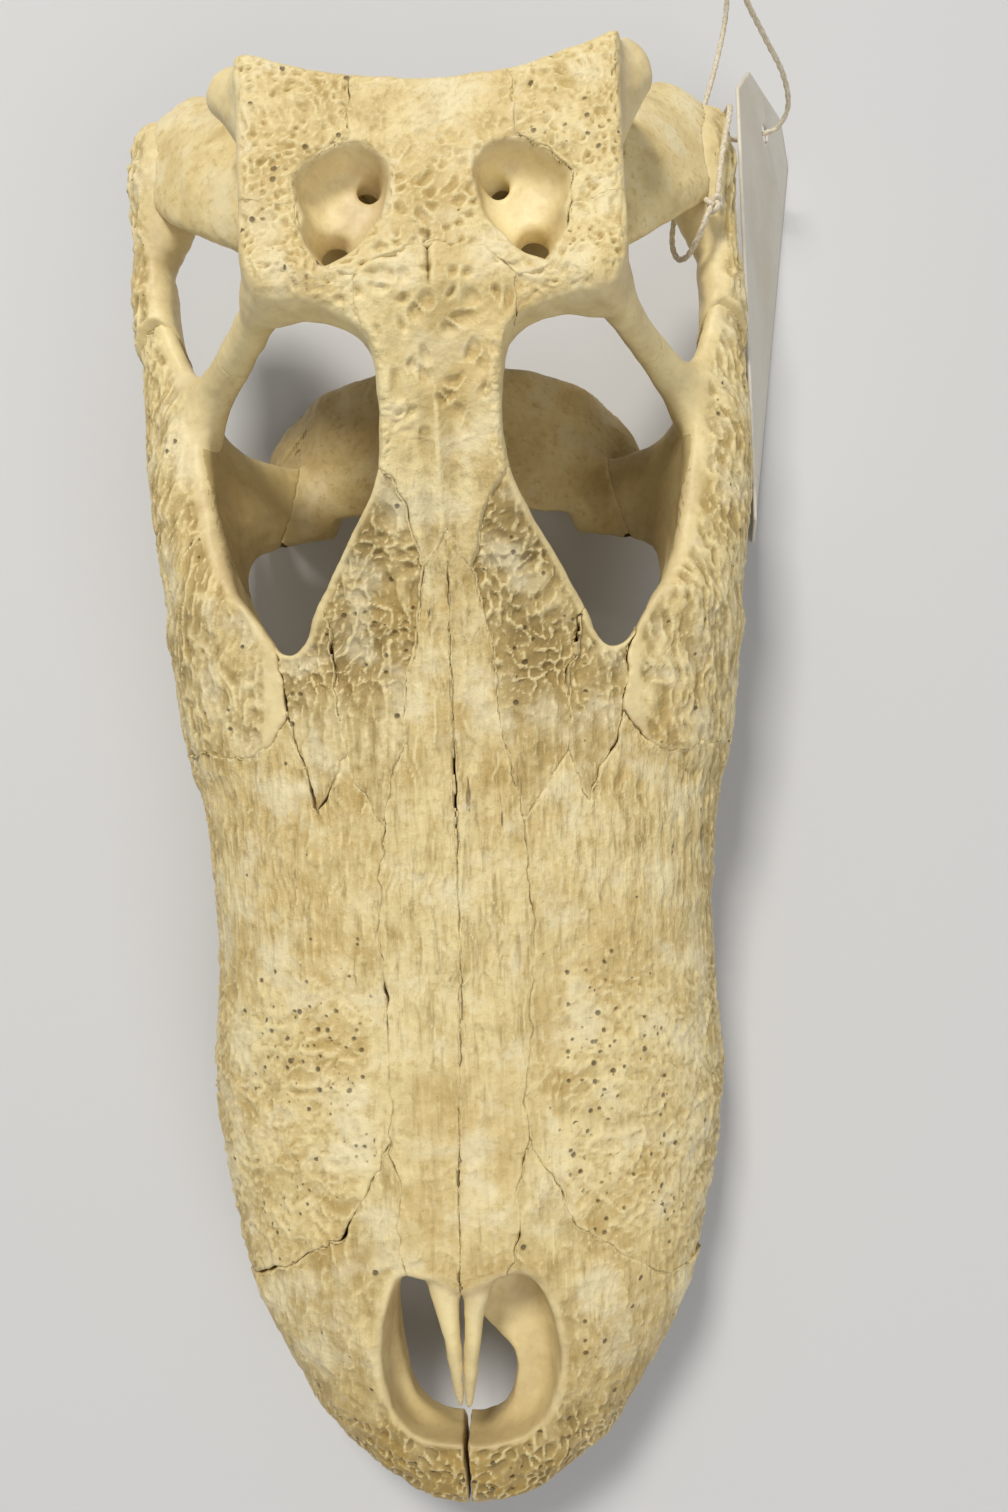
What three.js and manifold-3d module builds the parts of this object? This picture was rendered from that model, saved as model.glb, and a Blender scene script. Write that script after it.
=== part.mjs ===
// Upper skull of an alligator, life size, resting on its large front teeth and its pterygoid flanges.
// Millimetres, +Z up. The snout points to -Y, the animal's left is +X. Shapes are worked out in skull
// coordinates, with y from the snout tip to the jaw joints, and the group is centred at the end.
import * as THREE from "three";
import { mergeVertices } from "three/addons/utils/BufferGeometryUtils.js";
import Module from "manifold-3d";

const wasm = await Module();
wasm.setup();

// Driving dimensions
const TIP_Y = -137; // front of the premaxillae
const FACE_END = 47; // back of the solid snout, inside the orbits
const TABLE_BACK = 135.5; // back edge of the skull table on the midline
const TABLE_BACK_RADIUS = 146; // the hollow curve of that edge
const ROOF_BOTTOM = 89; // underside of the skull table, where the braincase begins
const SUTURE = 0.3; // gap between neighbouring bones
const NOSE_SEAM = 1.2; // the open seam between the premaxillae
const NOSE_FLOOR = 29; // floor of the nose behind the nostril
const PTERYGOID_TOP = 46; // where the pterygoids meet the braincase
const PTERYGOID_FRONT = 82; // where they meet the palatines
const SUNK = 1.2; // the bridge between the orbits starts this far under the snout's surface
const LEAN = { by: 4.5, along: [75, 150], across: [30, 58] }; // the left cheek leans in towards the back
const CHEEK_SLANT = 0.5; // lean of the seam between jugal and quadratojugal, in radians
const TOP = 125; // a height above the whole skull
const VAULT_POINTS = 16;
const ROOF_POINTS = 10;
const SCULPTED = 0xdccb9c;
const SMOOTH = 0xd8c7a4;
const PAPER = 0xefece4;
const THREAD = 0xe9e2d0;
const TOOTH_ROWS = [
  { count: 5, from: -133, to: -107, radius: 1.9, length: 6.5, largest: [{ at: 3, by: 0.8, near: 1 }] },
  {
    count: 14, from: -87, to: 22, radius: 1.7, length: 5,
    largest: [{ at: 3.4, by: 1.6, near: 1.4 }, { at: 8.5, by: 0.7, near: 2 }],
  },
];
const TOOTH_INSET = 5.6; // from the widest line of the snout to the middle of a socket
const CONDYLE = { radius: 7.5, at: [0, 140, 62] }; // the ball of the neck joint
const CORD_HOLE = { radius: 5.5, height: 75 }; // the opening for the spinal cord

// The snout's underside across its half-width, each with its rise from the sockets to the palate
const UNDERSIDE = [
  [0.95, 0], [0.84, 0], [0.77, 1], [0.4, 1.1], [-0.4, 1.1], [-0.77, 1], [-0.84, 0], [-0.95, 0],
];

// Openings in plan, left side
const ORBIT = [
  [32.5, 36], [23.5, 49.5], [13.6, 64], [11.8, 78], [14, 90], [24, 95], [38, 99], [54, 92], [52, 70],
  [43, 47],
];
const NARIS = [[0, -123.5], [12, -118.5], [16.4, -106], [14.5, -94], [9.5, -89], [4, -90.5], [0, -93]];
const INCISIVE = [[0, -117], [7, -114], [8.5, -104], [5, -96], [0, -94]];
const SUBORBITAL = [[24, 20], [15, 34], [15, 54], [40, 54], [43, 42], [36, 26]];
const FENESTRA = [[15.3, 123], [8.2, 118.5], [10.4, 108.5], [20.5, 99.8], [22.6, 107], [25, 116.5]];

// Outlines in plan of the bones set into the snout, left side
const NASAL = [
  [0, -120], [7.5, -120], [7.5, -95], [9.8, -91], [13.8, -63], [15.6, -20], [14, 0], [8.5, 30], [4.5, 50],
  [0, 57],
];
const PREFRONTAL = [
  [14, 0], [8.5, 30], [4.5, 50], [8, 60], [14, 68], [31, 60], [27, 48], [24, 30], [22.5, 15],
];
const LACRIMAL = [[28, 4], [22.5, 15], [24, 30], [27, 48], [38, 46], [37, 36], [34.5, 24]];

// Bars and plates: stations [x, y, z, width, thickness], left side
const BAR = [
  [29, 99, 96, 9, 8], [33.5, 99.5, 88, 8.5, 7.5], [39.5, 98.5, 77, 8, 7], [46.5, 96.5, 66, 8.5, 7.5],
  [55, 94, 53, 12, 9],
];
const PILLAR = [[17, 50, 68, 11, 8], [14.5, 52, 56, 8, 6], [9, 56, 36, 7, 6]];
const TABLE_CORNER = [[31, 135, 92.5, 12, 9], [35, 140, 92.5, 12, 9.5], [37.8, 143, 91.4, 12, 10]];
const OCCIPUT = [
  [-34, 136, 81, 8, 13], [-24, 133, 80, 9, 18], [0, 131, 78, 10, 22], [24, 133, 80, 9, 18],
  [34, 136, 81, 8, 13],
];
const BRAINCASE = [
  [0, 88, 74, 12, 14], [0, 98, 71.5, 18, 30], [0, 110, 70, 24, 38], [0, 124, 70, 30, 42],
  [0, 133, 70, 34, 40],
];
const BASIOCCIPITAL = [[0, 134, 64, 20, 14], [0, 131, 54, 30, 9], [0, 127, 42, 28, 8], [0, 124, 34, 20, 6]];
const QUADRATE = [
  [21, 122, 77, 20, 12], [34, 131, 76.5, 27, 11], [47, 142, 70.5, 29, 10], [56, 151.5, 62.5, 28, 10],
  [60.5, 159.5, 57, 25, 11], [61.5, 164.5, 54.8, 21, 8],
];
const QUADRATOJUGAL = [
  [64.5, 104, 50, 11, 13], [66.3, 118, 51.5, 8.5, 12], [66.2, 130, 53, 9.5, 12], [63.8, 140, 56, 15, 11],
  [62.5, 150, 58.5, 18, 10.5], [66, 161, 55.5, 11, 9],
];
const PALATINE = [
  [0, FACE_END + 0.35, 34.5, 22, 9], [0, 56, 35.2, 19, 9], [0, 66, 36, 18, 9], [0, 88, 37.5, 24, 8],
];
const WING = [
  [3.5, 97, 38, 32, 7], [18, 96, 33.5, 36, 6], [31, 96.5, 27, 33, 5.5], [41, 98.5, 17.5, 27, 5.5],
  [46.5, 99.5, 8, 19, 6], [48, 100, -2, 13, 6],
];
const STALK = [[0, 112, 36, 18, 12], [0, 114, 44, 17, 13], [0, 117, 56, 20, 16]];
const ECTOPTERYGOID = [
  [58, 76, 50, 30, 8], [50, 79, 40, 25, 7], [41, 82.5, 29.5, 20, 6], [32, 84, 26, 17, 5],
];
const WING_TIP = [[47, 84, 30, 9, 7], [50.5, 92, 20, 8, 6], [51.5, 97, 10, 6, 5]];

// A place within each bone of the upper skull, left side or midline
const PLACES = {
  premaxilla: [25, -100, 27], maxilla: [30, -22, 32], nasal: [7.5, -29, 58], prefrontal: [15, 33, 62],
  lacrimal: [30, 25, 57], jugal: [52, 65, 46], postorbital: [30, 101, 86], squamosal: [26, 125, 96],
};
const FRONTAL_PLACE = [0, 77, 84];
const PARIETAL_PLACE = [0, 117, 97];

// A stiff card on its long edge against the cheek, and its string, which starts and ends in the knot
const CARD = {
  thickness: 0.7,
  upper: [[68.9, 70, 43], [72.2, 191, 43.5]],
  lower: [[78, 80.5, 0.4], [96.8, 201.5, 0.4]],
  clip: 10,
  hole: 2.8,
  holeFromEnd: 11,
};
const STRING = { radius: 0.7, sides: 8, steps: 72 };
const KNOT = { radius: 2.1, at: [59.7, 134.9, 64.4] };
const STRING_ROUTE = [
  [60.6, 136.4, 64.2], [62, 146, 66.3], [64.4, 156, 64.4], [66.2, 163.5, 58.5], [67.6, 170, 49],
  [69.2, 176.5, 38], [71.6, 181.6, 27.5], [75.2, 184.8, 20.8], [79.4, 185.7, 20], [83.5, 185.3, 21.9],
  [87, 185.4, 24.6], [88.2, 187.2, 30], [85.2, 189.6, 37.6], [79.2, 191.6, 46.4], [72.8, 193.8, 55.6],
  [68, 199.2, 62.4], [65.8, 206.6, 64.4], [67, 211.8, 60], [69.6, 209.4, 52], [70.2, 200.5, 45.6],
  [67.4, 188.4, 42], [62.2, 172, 42.6], [57, 155, 45.4], [53.4, 140, 46.8], [53.4, 131.6, 50.2],
  [54.6, 127.6, 56.4], [56, 127.8, 62.4], [57.6, 130.6, 65.8], [58.9, 133.6, 65],
];

// A smooth function through [position, value] pairs, held level past its ends.
function profile(pairs) {
  const positions = pairs.map((pair) => pair[0]);
  const values = pairs.map((pair) => pair[1]);
  const spline = new THREE.CubicInterpolant(positions, values, 1);
  const last = positions.length - 1;
  return (at) => spline.evaluate(Math.min(Math.max(at, positions[0]), positions[last]))[0];
}

// Heights and half-widths along the skull. The snout's half-width runs on the root of the distance from
// the tip, so that the tip is round.
const widthByRoot = profile([
  [0, 0], [1.22, 13], [3, 29.5], [4.8, 41], [6.86, 50.5], [9.06, 58.7], [11.05, 57.4],
  [12.9, 62.5], [14.6, 68.5], [16, 70.5], [17.2, 71],
]);
const halfWidth = (y) => widthByRoot(Math.sqrt(Math.max(y - TIP_Y, 0)));
const crown = profile([
  [-137, 25], [-133, 32], [-123, 37.5], [-108, 43], [-90, 46.5], [-34, 54], [5, 62], [35, 70],
  [61, 82], [91, 95.5], [99, 99], [135, 102.5],
]);
const margin = profile([
  [-137, 21], [-128, 18.5], [-112, 17], [-97, 20], [-77, 16.5], [-58, 15], [-32, 19], [-9, 24],
  [17, 29], [46, 36], [77, 42], [109, 48], [160, 54],
]);
const socket = profile([
  [-137, 18], [-128, 14], [-112, 12.5], [-97, 15.5], [-77, 12], [-58, 10.5], [-32, 14], [-9, 18.5], [17, 23],
  [32, 28], [47, 34],
]);
const palate = profile([[-137, 22], [-112, 21], [-58, 19], [-20, 22.5], [17, 26.5], [47, 35]]);
const vaultPower = profile([[-137, 2.5], [-20, 2.5], [20, 2.2], [47, 1.85]]);
const roofHalf = profile([
  [30, 30], [40, 29], [49.5, 23.5], [64, 13.6], [76, 11.8], [86, 12.5], [90, 15], [92.5, 20],
  [94.3, 27], [96, 31.5], [99, 34.6], [104, 35.8], [123, 36], [142, 36.8],
]);
const jugalRimX = profile([
  [14, 40], [30, 38], [40, 39], [47, 43], [60, 47.5], [78, 51], [92, 53], [104, 56.5], [114, 60.5], [126, 62],
]);
const jugalRimZ = profile([
  [14, 53], [30, 60], [47, 63.5], [60, 61], [78, 59.5], [92, 58], [104, 56.5], [126, 57],
]);
const jugalFoot = profile([[14, 34], [47, 36], [78, 40], [104, 44], [126, 46]]);
const roofThickness = profile([[30, 9], [60, 9], [90, 8.5], [104, 10.5], [142, 13]]);

// The vault of the snout at a place in plan.
function vault(x, y) {
  const across = Math.min(Math.abs(x) / halfWidth(y), 1);
  return margin(y) + (crown(y) - margin(y)) * Math.sqrt(1 - across ** vaultPower(y));
}

// Shared shapes
const lerp = THREE.MathUtils.lerp;
const smoothstep = THREE.MathUtils.smoothstep;
const point = (x, y, z) => new THREE.Vector3(x, y, z);

function solidOf(geometry) {
  const bare = new THREE.BufferGeometry();
  bare.setAttribute("position", geometry.getAttribute("position"));
  bare.setIndex(geometry.getIndex());
  const merged = mergeVertices(bare, 1e-4);
  const triVerts = new Uint32Array(merged.index.array);
  const make = () =>
    new wasm.Manifold(
      new wasm.Mesh({ numProp: 3, vertProperties: merged.attributes.position.array, triVerts }),
    );
  const solid = make();
  if (solid.volume() > 0) return solid;
  for (let i = 0; i < triVerts.length; i += 3) {
    [triVerts[i + 1], triVerts[i + 2]] = [triVerts[i + 2], triVerts[i + 1]];
  }
  return make();
}

// Rings of equally many points joined into one closed solid, with a fan over each end.
function loft(rings) {
  const count = rings[0].length;
  const vertices = rings.flat();
  const faces = [];
  for (let r = 0; r + 1 < rings.length; r++) {
    for (let k = 0; k < count; k++) {
      const next = (k + 1) % count;
      const [a, b] = [r * count + k, r * count + next];
      faces.push(a, b, b + count, a, b + count, a + count);
    }
  }
  [0, rings.length - 1].forEach((r) => {
    const centre = rings[r].reduce((sum, p) => sum.add(p), point(0, 0, 0)).divideScalar(count);
    const hub = vertices.push(centre) - 1;
    for (let k = 0; k < count; k++) {
      const [a, b] = [r * count + k, r * count + ((k + 1) % count)];
      faces.push(...(r === 0 ? [b, a, hub] : [a, b, hub]));
    }
  });
  const geometry = new THREE.BufferGeometry().setFromPoints(vertices);
  return solidOf(geometry.setIndex(faces));
}

// An oval section carried through stations [x, y, z, wide, thick]. Its width lies along `across`, its
// thickness along the third direction, and `grow` widens it all round.
function strut(stations, across, { sides = 10, grow = 0 } = {}) {
  const centres = stations.map(([x, y, z]) => point(x, y, z));
  const rings = stations.map(([, , , wide, thick], i) => {
    const ahead = centres[Math.min(i + 1, centres.length - 1)];
    const run = ahead.clone().sub(centres[Math.max(i - 1, 0)]).normalize();
    const thin = point(...across).cross(run).normalize();
    const broad = run.clone().cross(thin);
    return Array.from({ length: sides }, (_, k) => {
      const angle = (2 * Math.PI * k) / sides;
      return centres[i]
        .clone()
        .addScaledVector(broad, (wide / 2 + grow) * Math.cos(angle))
        .addScaledVector(thin, (thick / 2 + grow) * Math.sin(angle));
    });
  });
  return loft(rings);
}

// A closed smooth outline in plan, [x, y] points, carried up from low to high.
function prism(outline, low, high, steps = 24) {
  const curve = new THREE.CatmullRomCurve3(outline.map(([x, y]) => point(x, y, 0)), true, "catmullrom");
  const corners = curve.getPoints(steps).slice(0, -1);
  const shape = new THREE.Shape(corners.map((p) => new THREE.Vector2(p.x, p.y)));
  const geometry = new THREE.ExtrudeGeometry(shape, { depth: high - low, bevelEnabled: false });
  return solidOf(geometry.translate(0, 0, low));
}

// A thin upright wall along a smooth line in plan, which parts two bones.
function wall(line, low, high, thickness = SUTURE, steps = 3) {
  const curve = new THREE.SplineCurve(line.map(([x, y]) => new THREE.Vector2(x, y)));
  const middle = line.length > 2 ? curve.getPoints(steps * (line.length - 1)) : curve.getPoints(1);
  const side = (sign) =>
    middle.map((p, i) => {
      const ahead = middle[Math.min(i + 1, middle.length - 1)];
      const behind = middle[Math.max(i - 1, 0)];
      const along = ahead.clone().sub(behind).normalize();
      const off = (sign * thickness) / 2;
      return new THREE.Vector2(p.x - along.y * off, p.y + along.x * off);
    });
  const shape = new THREE.Shape([...side(1), ...side(-1).reverse()]);
  const geometry = new THREE.ExtrudeGeometry(shape, { depth: high - low, bevelEnabled: false });
  return solidOf(geometry.translate(0, 0, low));
}

// A box between two corners, turned about its own centre.
function slab(low, high, turn = [0, 0, 0]) {
  const size = high.map((v, i) => v - low[i]);
  const geometry = new THREE.BoxGeometry(...size).rotateX(turn[0]).rotateY(turn[1]).rotateZ(turn[2]);
  return solidOf(geometry.translate(...high.map((v, i) => (v + low[i]) / 2)));
}

const join = (solids) => wasm.Manifold.union(solids);
const mirrored = (solid) => solid.mirror([1, 0, 0]);
const bothSides = (solid) => [solid, mirrored(solid)];
const range = (from, to, count) =>
  Array.from({ length: count }, (_, i) => from + ((to - from) * i) / (count - 1));

// Snout: premaxillae, maxillae, nasals, lacrimals and prefrontals in one form

function snoutRing(y) {
  const wide = halfWidth(y);
  const ring = [];
  for (let k = 0; k <= VAULT_POINTS; k++) {
    const across = Math.cos((Math.PI * k) / VAULT_POINTS);
    const x = wide * Math.sign(across) * Math.abs(across) ** 0.85;
    ring.push(point(x, y, vault(x, y)));
  }
  UNDERSIDE.slice().reverse().forEach(([share, rise]) => {
    ring.push(point(wide * share, y, lerp(socket(y), palate(y), rise)));
  });
  return ring;
}

const mirrorOutline = (half) => [...half, ...half.slice(1, -1).reverse().map(([x, y]) => [-x, y])];

function snout() {
  const stations = [-136.6, -135.6, -133.5, -130, -125, ...range(-119, FACE_END, 25)];
  const openings = [
    prism(mirrorOutline(NARIS), NOSE_FLOOR, 80, 40),
    prism(mirrorOutline(INCISIVE), 0, 60, 24),
    ...bothSides(prism(ORBIT, 0, 120, 40)),
    ...bothSides(prism(SUBORBITAL, 0, 54, 18)),
  ];
  return loft(stations.map(snoutRing)).subtract(join(openings));
}

// The paired nasal spikes that reach forward over the nose.
function nasalSpike() {
  const spike = [[0.15, -87, 5.5, 7], [0.6, -97, 4.2, 4.5], [1.1, -106, 3, 3.4], [1, -114, 1.2, 1.6]];
  const stations = spike.map(([inner, y, wide, tall]) => {
    const height = crown(y) - SUNK - tall / 2;
    return [inner + wide / 2, y, height, wide, tall];
  });
  return strut(stations, [1, 0, 0], { sides: 8 });
}

// Teeth: blunt cones set in the sockets, with the largest ones carrying the snout on small flats at z = 0.
function teeth() {
  const middle = new THREE.Vector2(0, -95);
  return TOOTH_ROWS.flatMap(({ count, from, to, radius, length, largest }) =>
    range(from, to, count).map((y, i) => {
      const share = ({ at, by, near }) => by * Math.exp(-(((i - at) / near) ** 2));
      const bump = largest.reduce((sum, peak) => sum + share(peak), 0);
      const wide = 2 * (radius + bump);
      const rim = new THREE.Vector2(halfWidth(y), y);
      const inward = y < middle.y ? middle.clone().sub(rim).normalize() : new THREE.Vector2(-1, 0);
      const root = rim.addScaledVector(inward, TOOTH_INSET);
      const base = socket(root.y);
      const low = Math.max(base - length - 4.2 * bump, 0);
      const stations = [
        [root.x, root.y, base + 9, wide, wide],
        [root.x, root.y, base, wide, wide],
        [root.x + 0.5, root.y, (base + low) / 2, wide * 0.7, wide * 0.7],
        [root.x - 0.3, root.y, low, 1.5, 1.5],
      ];
      return strut(stations, [1, 0, 0], { sides: 6 });
    }),
  );
}

// Skull roof: the bridge between the orbits and the flat table behind it

function roofRing(y) {
  const half = roofHalf(y);
  const flat = smoothstep(y, FACE_END, 66);
  const top = [];
  const under = [];
  for (let k = 0; k <= ROOF_POINTS; k++) {
    const share = 1 - (2 * k) / ROOF_POINTS;
    const level = lerp(vault(half * share, y), crown(y), flat);
    const z = level - (y < FACE_END ? SUNK : 0) + 1.6 * flat * share * share;
    const rim = Math.abs(share) ** 8;
    top.push(point(half * share, y, z - 1.5 * rim));
    under.push(point(half * share * 0.94, y, z - roofThickness(y) + 2 * rim));
  }
  return [...top, ...under.reverse()];
}

function fenestraFunnel() {
  const curve = new THREE.CatmullRomCurve3(FENESTRA.map(([x, y]) => point(x, y, 0)), true, "catmullrom");
  const outline = curve.getPoints(16).slice(0, -1);
  const ring = (z, scale, x, y) =>
    outline.map((p) => point(lerp(x, p.x, scale), lerp(y, p.y, scale), z));
  return loft([ring(112, 1, 0, 0), ring(99, 1, 0, 0), ring(93, 0.66, 18, 108), ring(80, 0.6, 20, 106)]);
}

function roof() {
  const bridge = [32, 40, 46, 52, 58, 64, 71, 78, 84, 88, 90.5, 92.5, 94.3, 96, 98.5, 102];
  const stations = [...bridge, ...range(108, 142, 6)];
  const back = solidOf(
    new THREE.CylinderGeometry(TABLE_BACK_RADIUS, TABLE_BACK_RADIUS, 60, 140)
      .rotateX(Math.PI / 2)
      .translate(0, TABLE_BACK + TABLE_BACK_RADIUS, 100),
  );
  return loft(stations.map(roofRing)).subtract(join([back, ...bothSides(fenestraFunnel())]));
}

// Cheek: the jugal's broad front face, which narrows to the bar under the rear window

function jugal(grow = 0) {
  const rings = [16, 30, 40, 48, 56, 66, 78, 90, 100, 108, 116, 126].map((y) => {
    const inset = y < 20 ? 3 : 0;
    const outer = halfWidth(y) - inset + grow;
    const rimX = jugalRimX(y) - grow;
    const rimZ = jugalRimZ(y) + grow;
    const low = margin(y);
    const ring = range(0, Math.PI / 2, 6).map((angle) =>
      point(rimX + 1.5 + (outer - rimX - 1.5) * Math.cos(angle), y, low + (rimZ - low) * Math.sin(angle)),
    );
    ring.push(point(rimX, y, rimZ - 2));
    ring.push(point(rimX + 1, y, jugalFoot(y) + 2));
    ring.push(point(rimX + 4, y, jugalFoot(y) - grow));
    ring.push(point(outer - 3, y, low - 4.5 - grow));
    return ring;
  });
  return loft(rings);
}

// The bar behind the orbit, from the corner of the table down to the jugal.
const postorbitalBar = () => strut(BAR, [0, 1, 0], { sides: 12 });

// The pillar from the brow down to the palatine.
const prefrontalPillar = () => strut(PILLAR, [0, 1, 0], { sides: 8 }).trimByPlane([0, 0, 1], 40.2);

// The lump behind the hinder corner of the table.
const tableCorner = () =>
  strut(TABLE_CORNER, [0.6, -0.6, 0], { sides: 10 }).trimByPlane([0, 0, 1], ROOF_BOTTOM);

const upper = join([
  snout(),
  roof(),
  ...[nasalSpike(), jugal(), postorbitalBar(), prefrontalPillar(), tableCorner()].flatMap(bothSides),
  ...teeth().flatMap(bothSides),
]).trimByPlane([0, 0, 1], 0);

// Thin cuts that part the upper bones

// A thin-walled cup round a straight-sided outline, whose floor follows the slope of the snout.
function cup(outline, floor, slope) {
  const moved = (by) => {
    const count = outline.length;
    const corners = outline.map(([x, y]) => new THREE.Vector2(x, y));
    const turn = THREE.ShapeUtils.isClockWise(corners) ? -1 : 1;
    const side = (i) => {
      const [a, b] = [outline[i % count], outline[(i + 1) % count]];
      return new THREE.Vector2(b[1] - a[1], a[0] - b[0]).normalize().multiplyScalar(turn);
    };
    return outline.map(([x, y], i) => {
      const [before, after] = [side(i + count - 1), side(i)];
      const corner = before.clone().add(after).divideScalar(1 + before.dot(after));
      return new THREE.Vector2(x + corner.x * by, y + corner.y * by);
    });
  };
  const block = (by, lift) => {
    const shape = new THREE.Shape(moved(by));
    const flat = new THREE.ExtrudeGeometry(shape, { depth: TOP, bevelEnabled: false });
    const place = flat.getAttribute("position");
    for (let i = 0; i < place.count; i++) {
      if (place.getZ(i) < 1) place.setZ(i, floor + slope * place.getY(i) + lift);
    }
    return solidOf(flat);
  };
  return block(SUTURE / 2, -SUTURE).subtract(block(-SUTURE / 2, 0));
}

const sides = [
  cup(NASAL, 55, 0.21),
  wall([[56, -90], [44, -92], [33, -86], [24, -80], [13.8, -63]], -1, TOP), // premaxilla, maxilla
  wall([[13.8, -63], [-0.2, -63]], -1, 41.8), // the same seam across the palate
  wall([[18, FACE_END + 0.2], [-1, FACE_END + 0.2]], -1, 66), // back of the palate
  cup(PREFRONTAL, 46, 0.34).subtract(slab([-1, FACE_END + 0.5, 0], [45, 75, 65.6])),
  cup(LACRIMAL, 42, 0.34),
  wall([[74, 23], [58, 19], [46, 16], [38, 18.5], [34.5, 24], [36, 31]], -1, TOP), // maxilla, jugal
  wall([[-0.2, 104], [9, 102.5], [15.5, 98], [14.5, 86]], 70, TOP, SUTURE, 1), // frontal
  wall([[15.5, 98], [19.5, 107]], 70, TOP), // parietal, postorbital
  wall([[16, 112], [14.5, 143]], 70, TOP), // parietal, squamosal
  wall([[17, 110.8], [41, 112.5]], 70, TOP), // postorbital, squamosal
  slab([33, 87, 71.4], [53, 107, 71.7], [0, -0.57, 0]), // postorbital, jugal
  slab([50, 114, 30], [80, 114 + SUTURE, 80], [-CHEEK_SLANT, 0, 0]), // jugal, quadratojugal
];
const seams = join([
  ...sides.flatMap(bothSides),
  wall([[0, -140], [0, 57]], -1, TOP), // between left and right
  wall([[0, -140], [0, -112]], -1, TOP, NOSE_SEAM),
]);
const upperBones = upper.subtract(seams).decompose();

// Jaw joint: the quadrate runs out and down from under the table, the quadratojugal lies on its outer side

const occiput = (grow = 0) => strut(OCCIPUT, [0, 1, 0], { sides: 10, grow });
const braincase = (grow = 0) => strut(BRAINCASE, [1, 0, 0], { sides: 14, grow });
const quadrate = (grow = 0) => strut(QUADRATE, [1, -1.3, -0.4], { sides: 12, grow });
const quadratojugal = (grow = 0) => strut(QUADRATOJUGAL, [1, 0, 0], { sides: 12, grow });
const belowRoof = (solid) => solid.trimByPlane([0, 0, -1], -(ROOF_BOTTOM - SUTURE));

// Braincase: neck joint, the hole for the spinal cord and the plate that hangs below it
const condyle = (grow = 0) =>
  solidOf(new THREE.SphereGeometry(CONDYLE.radius + grow, 14, 10).translate(...CONDYLE.at));
const basioccipital = (grow = 0) => strut(BASIOCCIPITAL, [1, 0, 0], { sides: 12, grow });
function cordHole() {
  const bore = new THREE.CylinderGeometry(CORD_HOLE.radius, CORD_HOLE.radius, 40, 14);
  return solidOf(bore.translate(0, 140, CORD_HOLE.height));
}

// Palate: palatines on the midline, pterygoid wings down to the ground, ectopterygoids across to the cheeks

const wing = (grow = 0) => strut(WING, [0, 1, 0], { sides: 14, grow }).trimByPlane([0, 0, 1], 0);
const ectopterygoid = () =>
  strut(ECTOPTERYGOID, [0, 1, 0], { sides: 12 }).add(strut(WING_TIP, [0, 1, 0], { sides: 8 }));
const leftHalf = (solid) => solid.trimByPlane([1, 0, 0], SUTURE / 2);
const stalk = strut(STALK, [1, 0, 0], { sides: 12 });
const neck = join([basioccipital(), condyle()]);
const palatine = strut(PALATINE, [1, 0, 0], { sides: 10 });
const stalkTop = stalk.trimByPlane([0, 0, 1], PTERYGOID_TOP);
const stalkFoot = stalk.trimByPlane([0, 0, -1], -(PTERYGOID_TOP - SUTURE));
const lowerSkull = belowRoof(join([braincase(), occiput(), stalkTop]));
const aroundNeck = join([basioccipital(SUTURE), condyle(SUTURE)]);
const pterygoid = leftHalf(join([wing(), stalkFoot])).subtract(aroundNeck);

// Tag: a bare card that leans on the cheek, with its string round the jaw joint and through the hole
const cardEdge = (edge, share) => edge[0].map((v, i) => lerp(v, edge[1][i], share));

function cardPoint(share, down) {
  const [upper, lower] = [cardEdge(CARD.upper, share), cardEdge(CARD.lower, share)];
  return point(...upper.map((v, i) => lerp(v, lower[i], down)));
}

function cardNormal(share, down) {
  const along = cardPoint(share + 0.01, down).sub(cardPoint(share - 0.01, down));
  const fall = cardPoint(share, down + 0.01).sub(cardPoint(share, down - 0.01));
  return along.cross(fall).normalize();
}

function card() {
  const [front, back] = [cardPoint(0, 0.5), cardPoint(1, 0.5)];
  const long = front.distanceTo(back);
  const tall = cardPoint(0.5, 0).distanceTo(cardPoint(0.5, 1));
  const shares = [...range(0, 1 - CARD.clip / long, 8), 1];
  const rings = shares.map((share) => {
    const clip = share < 1 ? 0 : CARD.clip / tall;
    const face = (side) =>
      range(clip, 1 - clip, 6).map((down) =>
        cardPoint(share, down).addScaledVector(cardNormal(share, down), (side * CARD.thickness) / 2),
      );
    return [...face(1), ...face(-1).reverse()];
  });
  const share = 1 - CARD.holeFromEnd / long;
  const punch = new THREE.CylinderGeometry(CARD.hole, CARD.hole, 8, 14);
  const turn = new THREE.Quaternion().setFromUnitVectors(point(0, 1, 0), cardNormal(share, 0.5));
  punch.applyQuaternion(turn).translate(...cardPoint(share, 0.5).toArray());
  return loft(rings).subtract(solidOf(punch));
}

function string() {
  const route = STRING_ROUTE.map((place) => point(...place));
  const curve = new THREE.CatmullRomCurve3(route, false, "catmullrom");
  const section = new THREE.Shape(
    range(0, STRING.sides - 1, STRING.sides).map((k) => {
      const angle = (2 * Math.PI * k) / STRING.sides;
      return new THREE.Vector2(STRING.radius * Math.cos(angle), STRING.radius * Math.sin(angle));
    }),
  );
  const carried = { steps: STRING.steps, extrudePath: curve, bevelEnabled: false };
  const tube = solidOf(new THREE.ExtrudeGeometry(section, carried));
  const knot = solidOf(new THREE.SphereGeometry(KNOT.radius, 10, 8).translate(...KNOT.at));
  return tube.add(knot);
}

// Assembly
const group = new THREE.Group();

// The left cheek of this skull stands a little further in than the right one.
function leanIn(geometry) {
  const place = geometry.getAttribute("position");
  for (let i = 0; i < place.count; i++) {
    const [x, y] = [place.getX(i), place.getY(i)];
    place.setX(i, x - LEAN.by * smoothstep(y, ...LEAN.along) * smoothstep(x, ...LEAN.across));
  }
}

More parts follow.
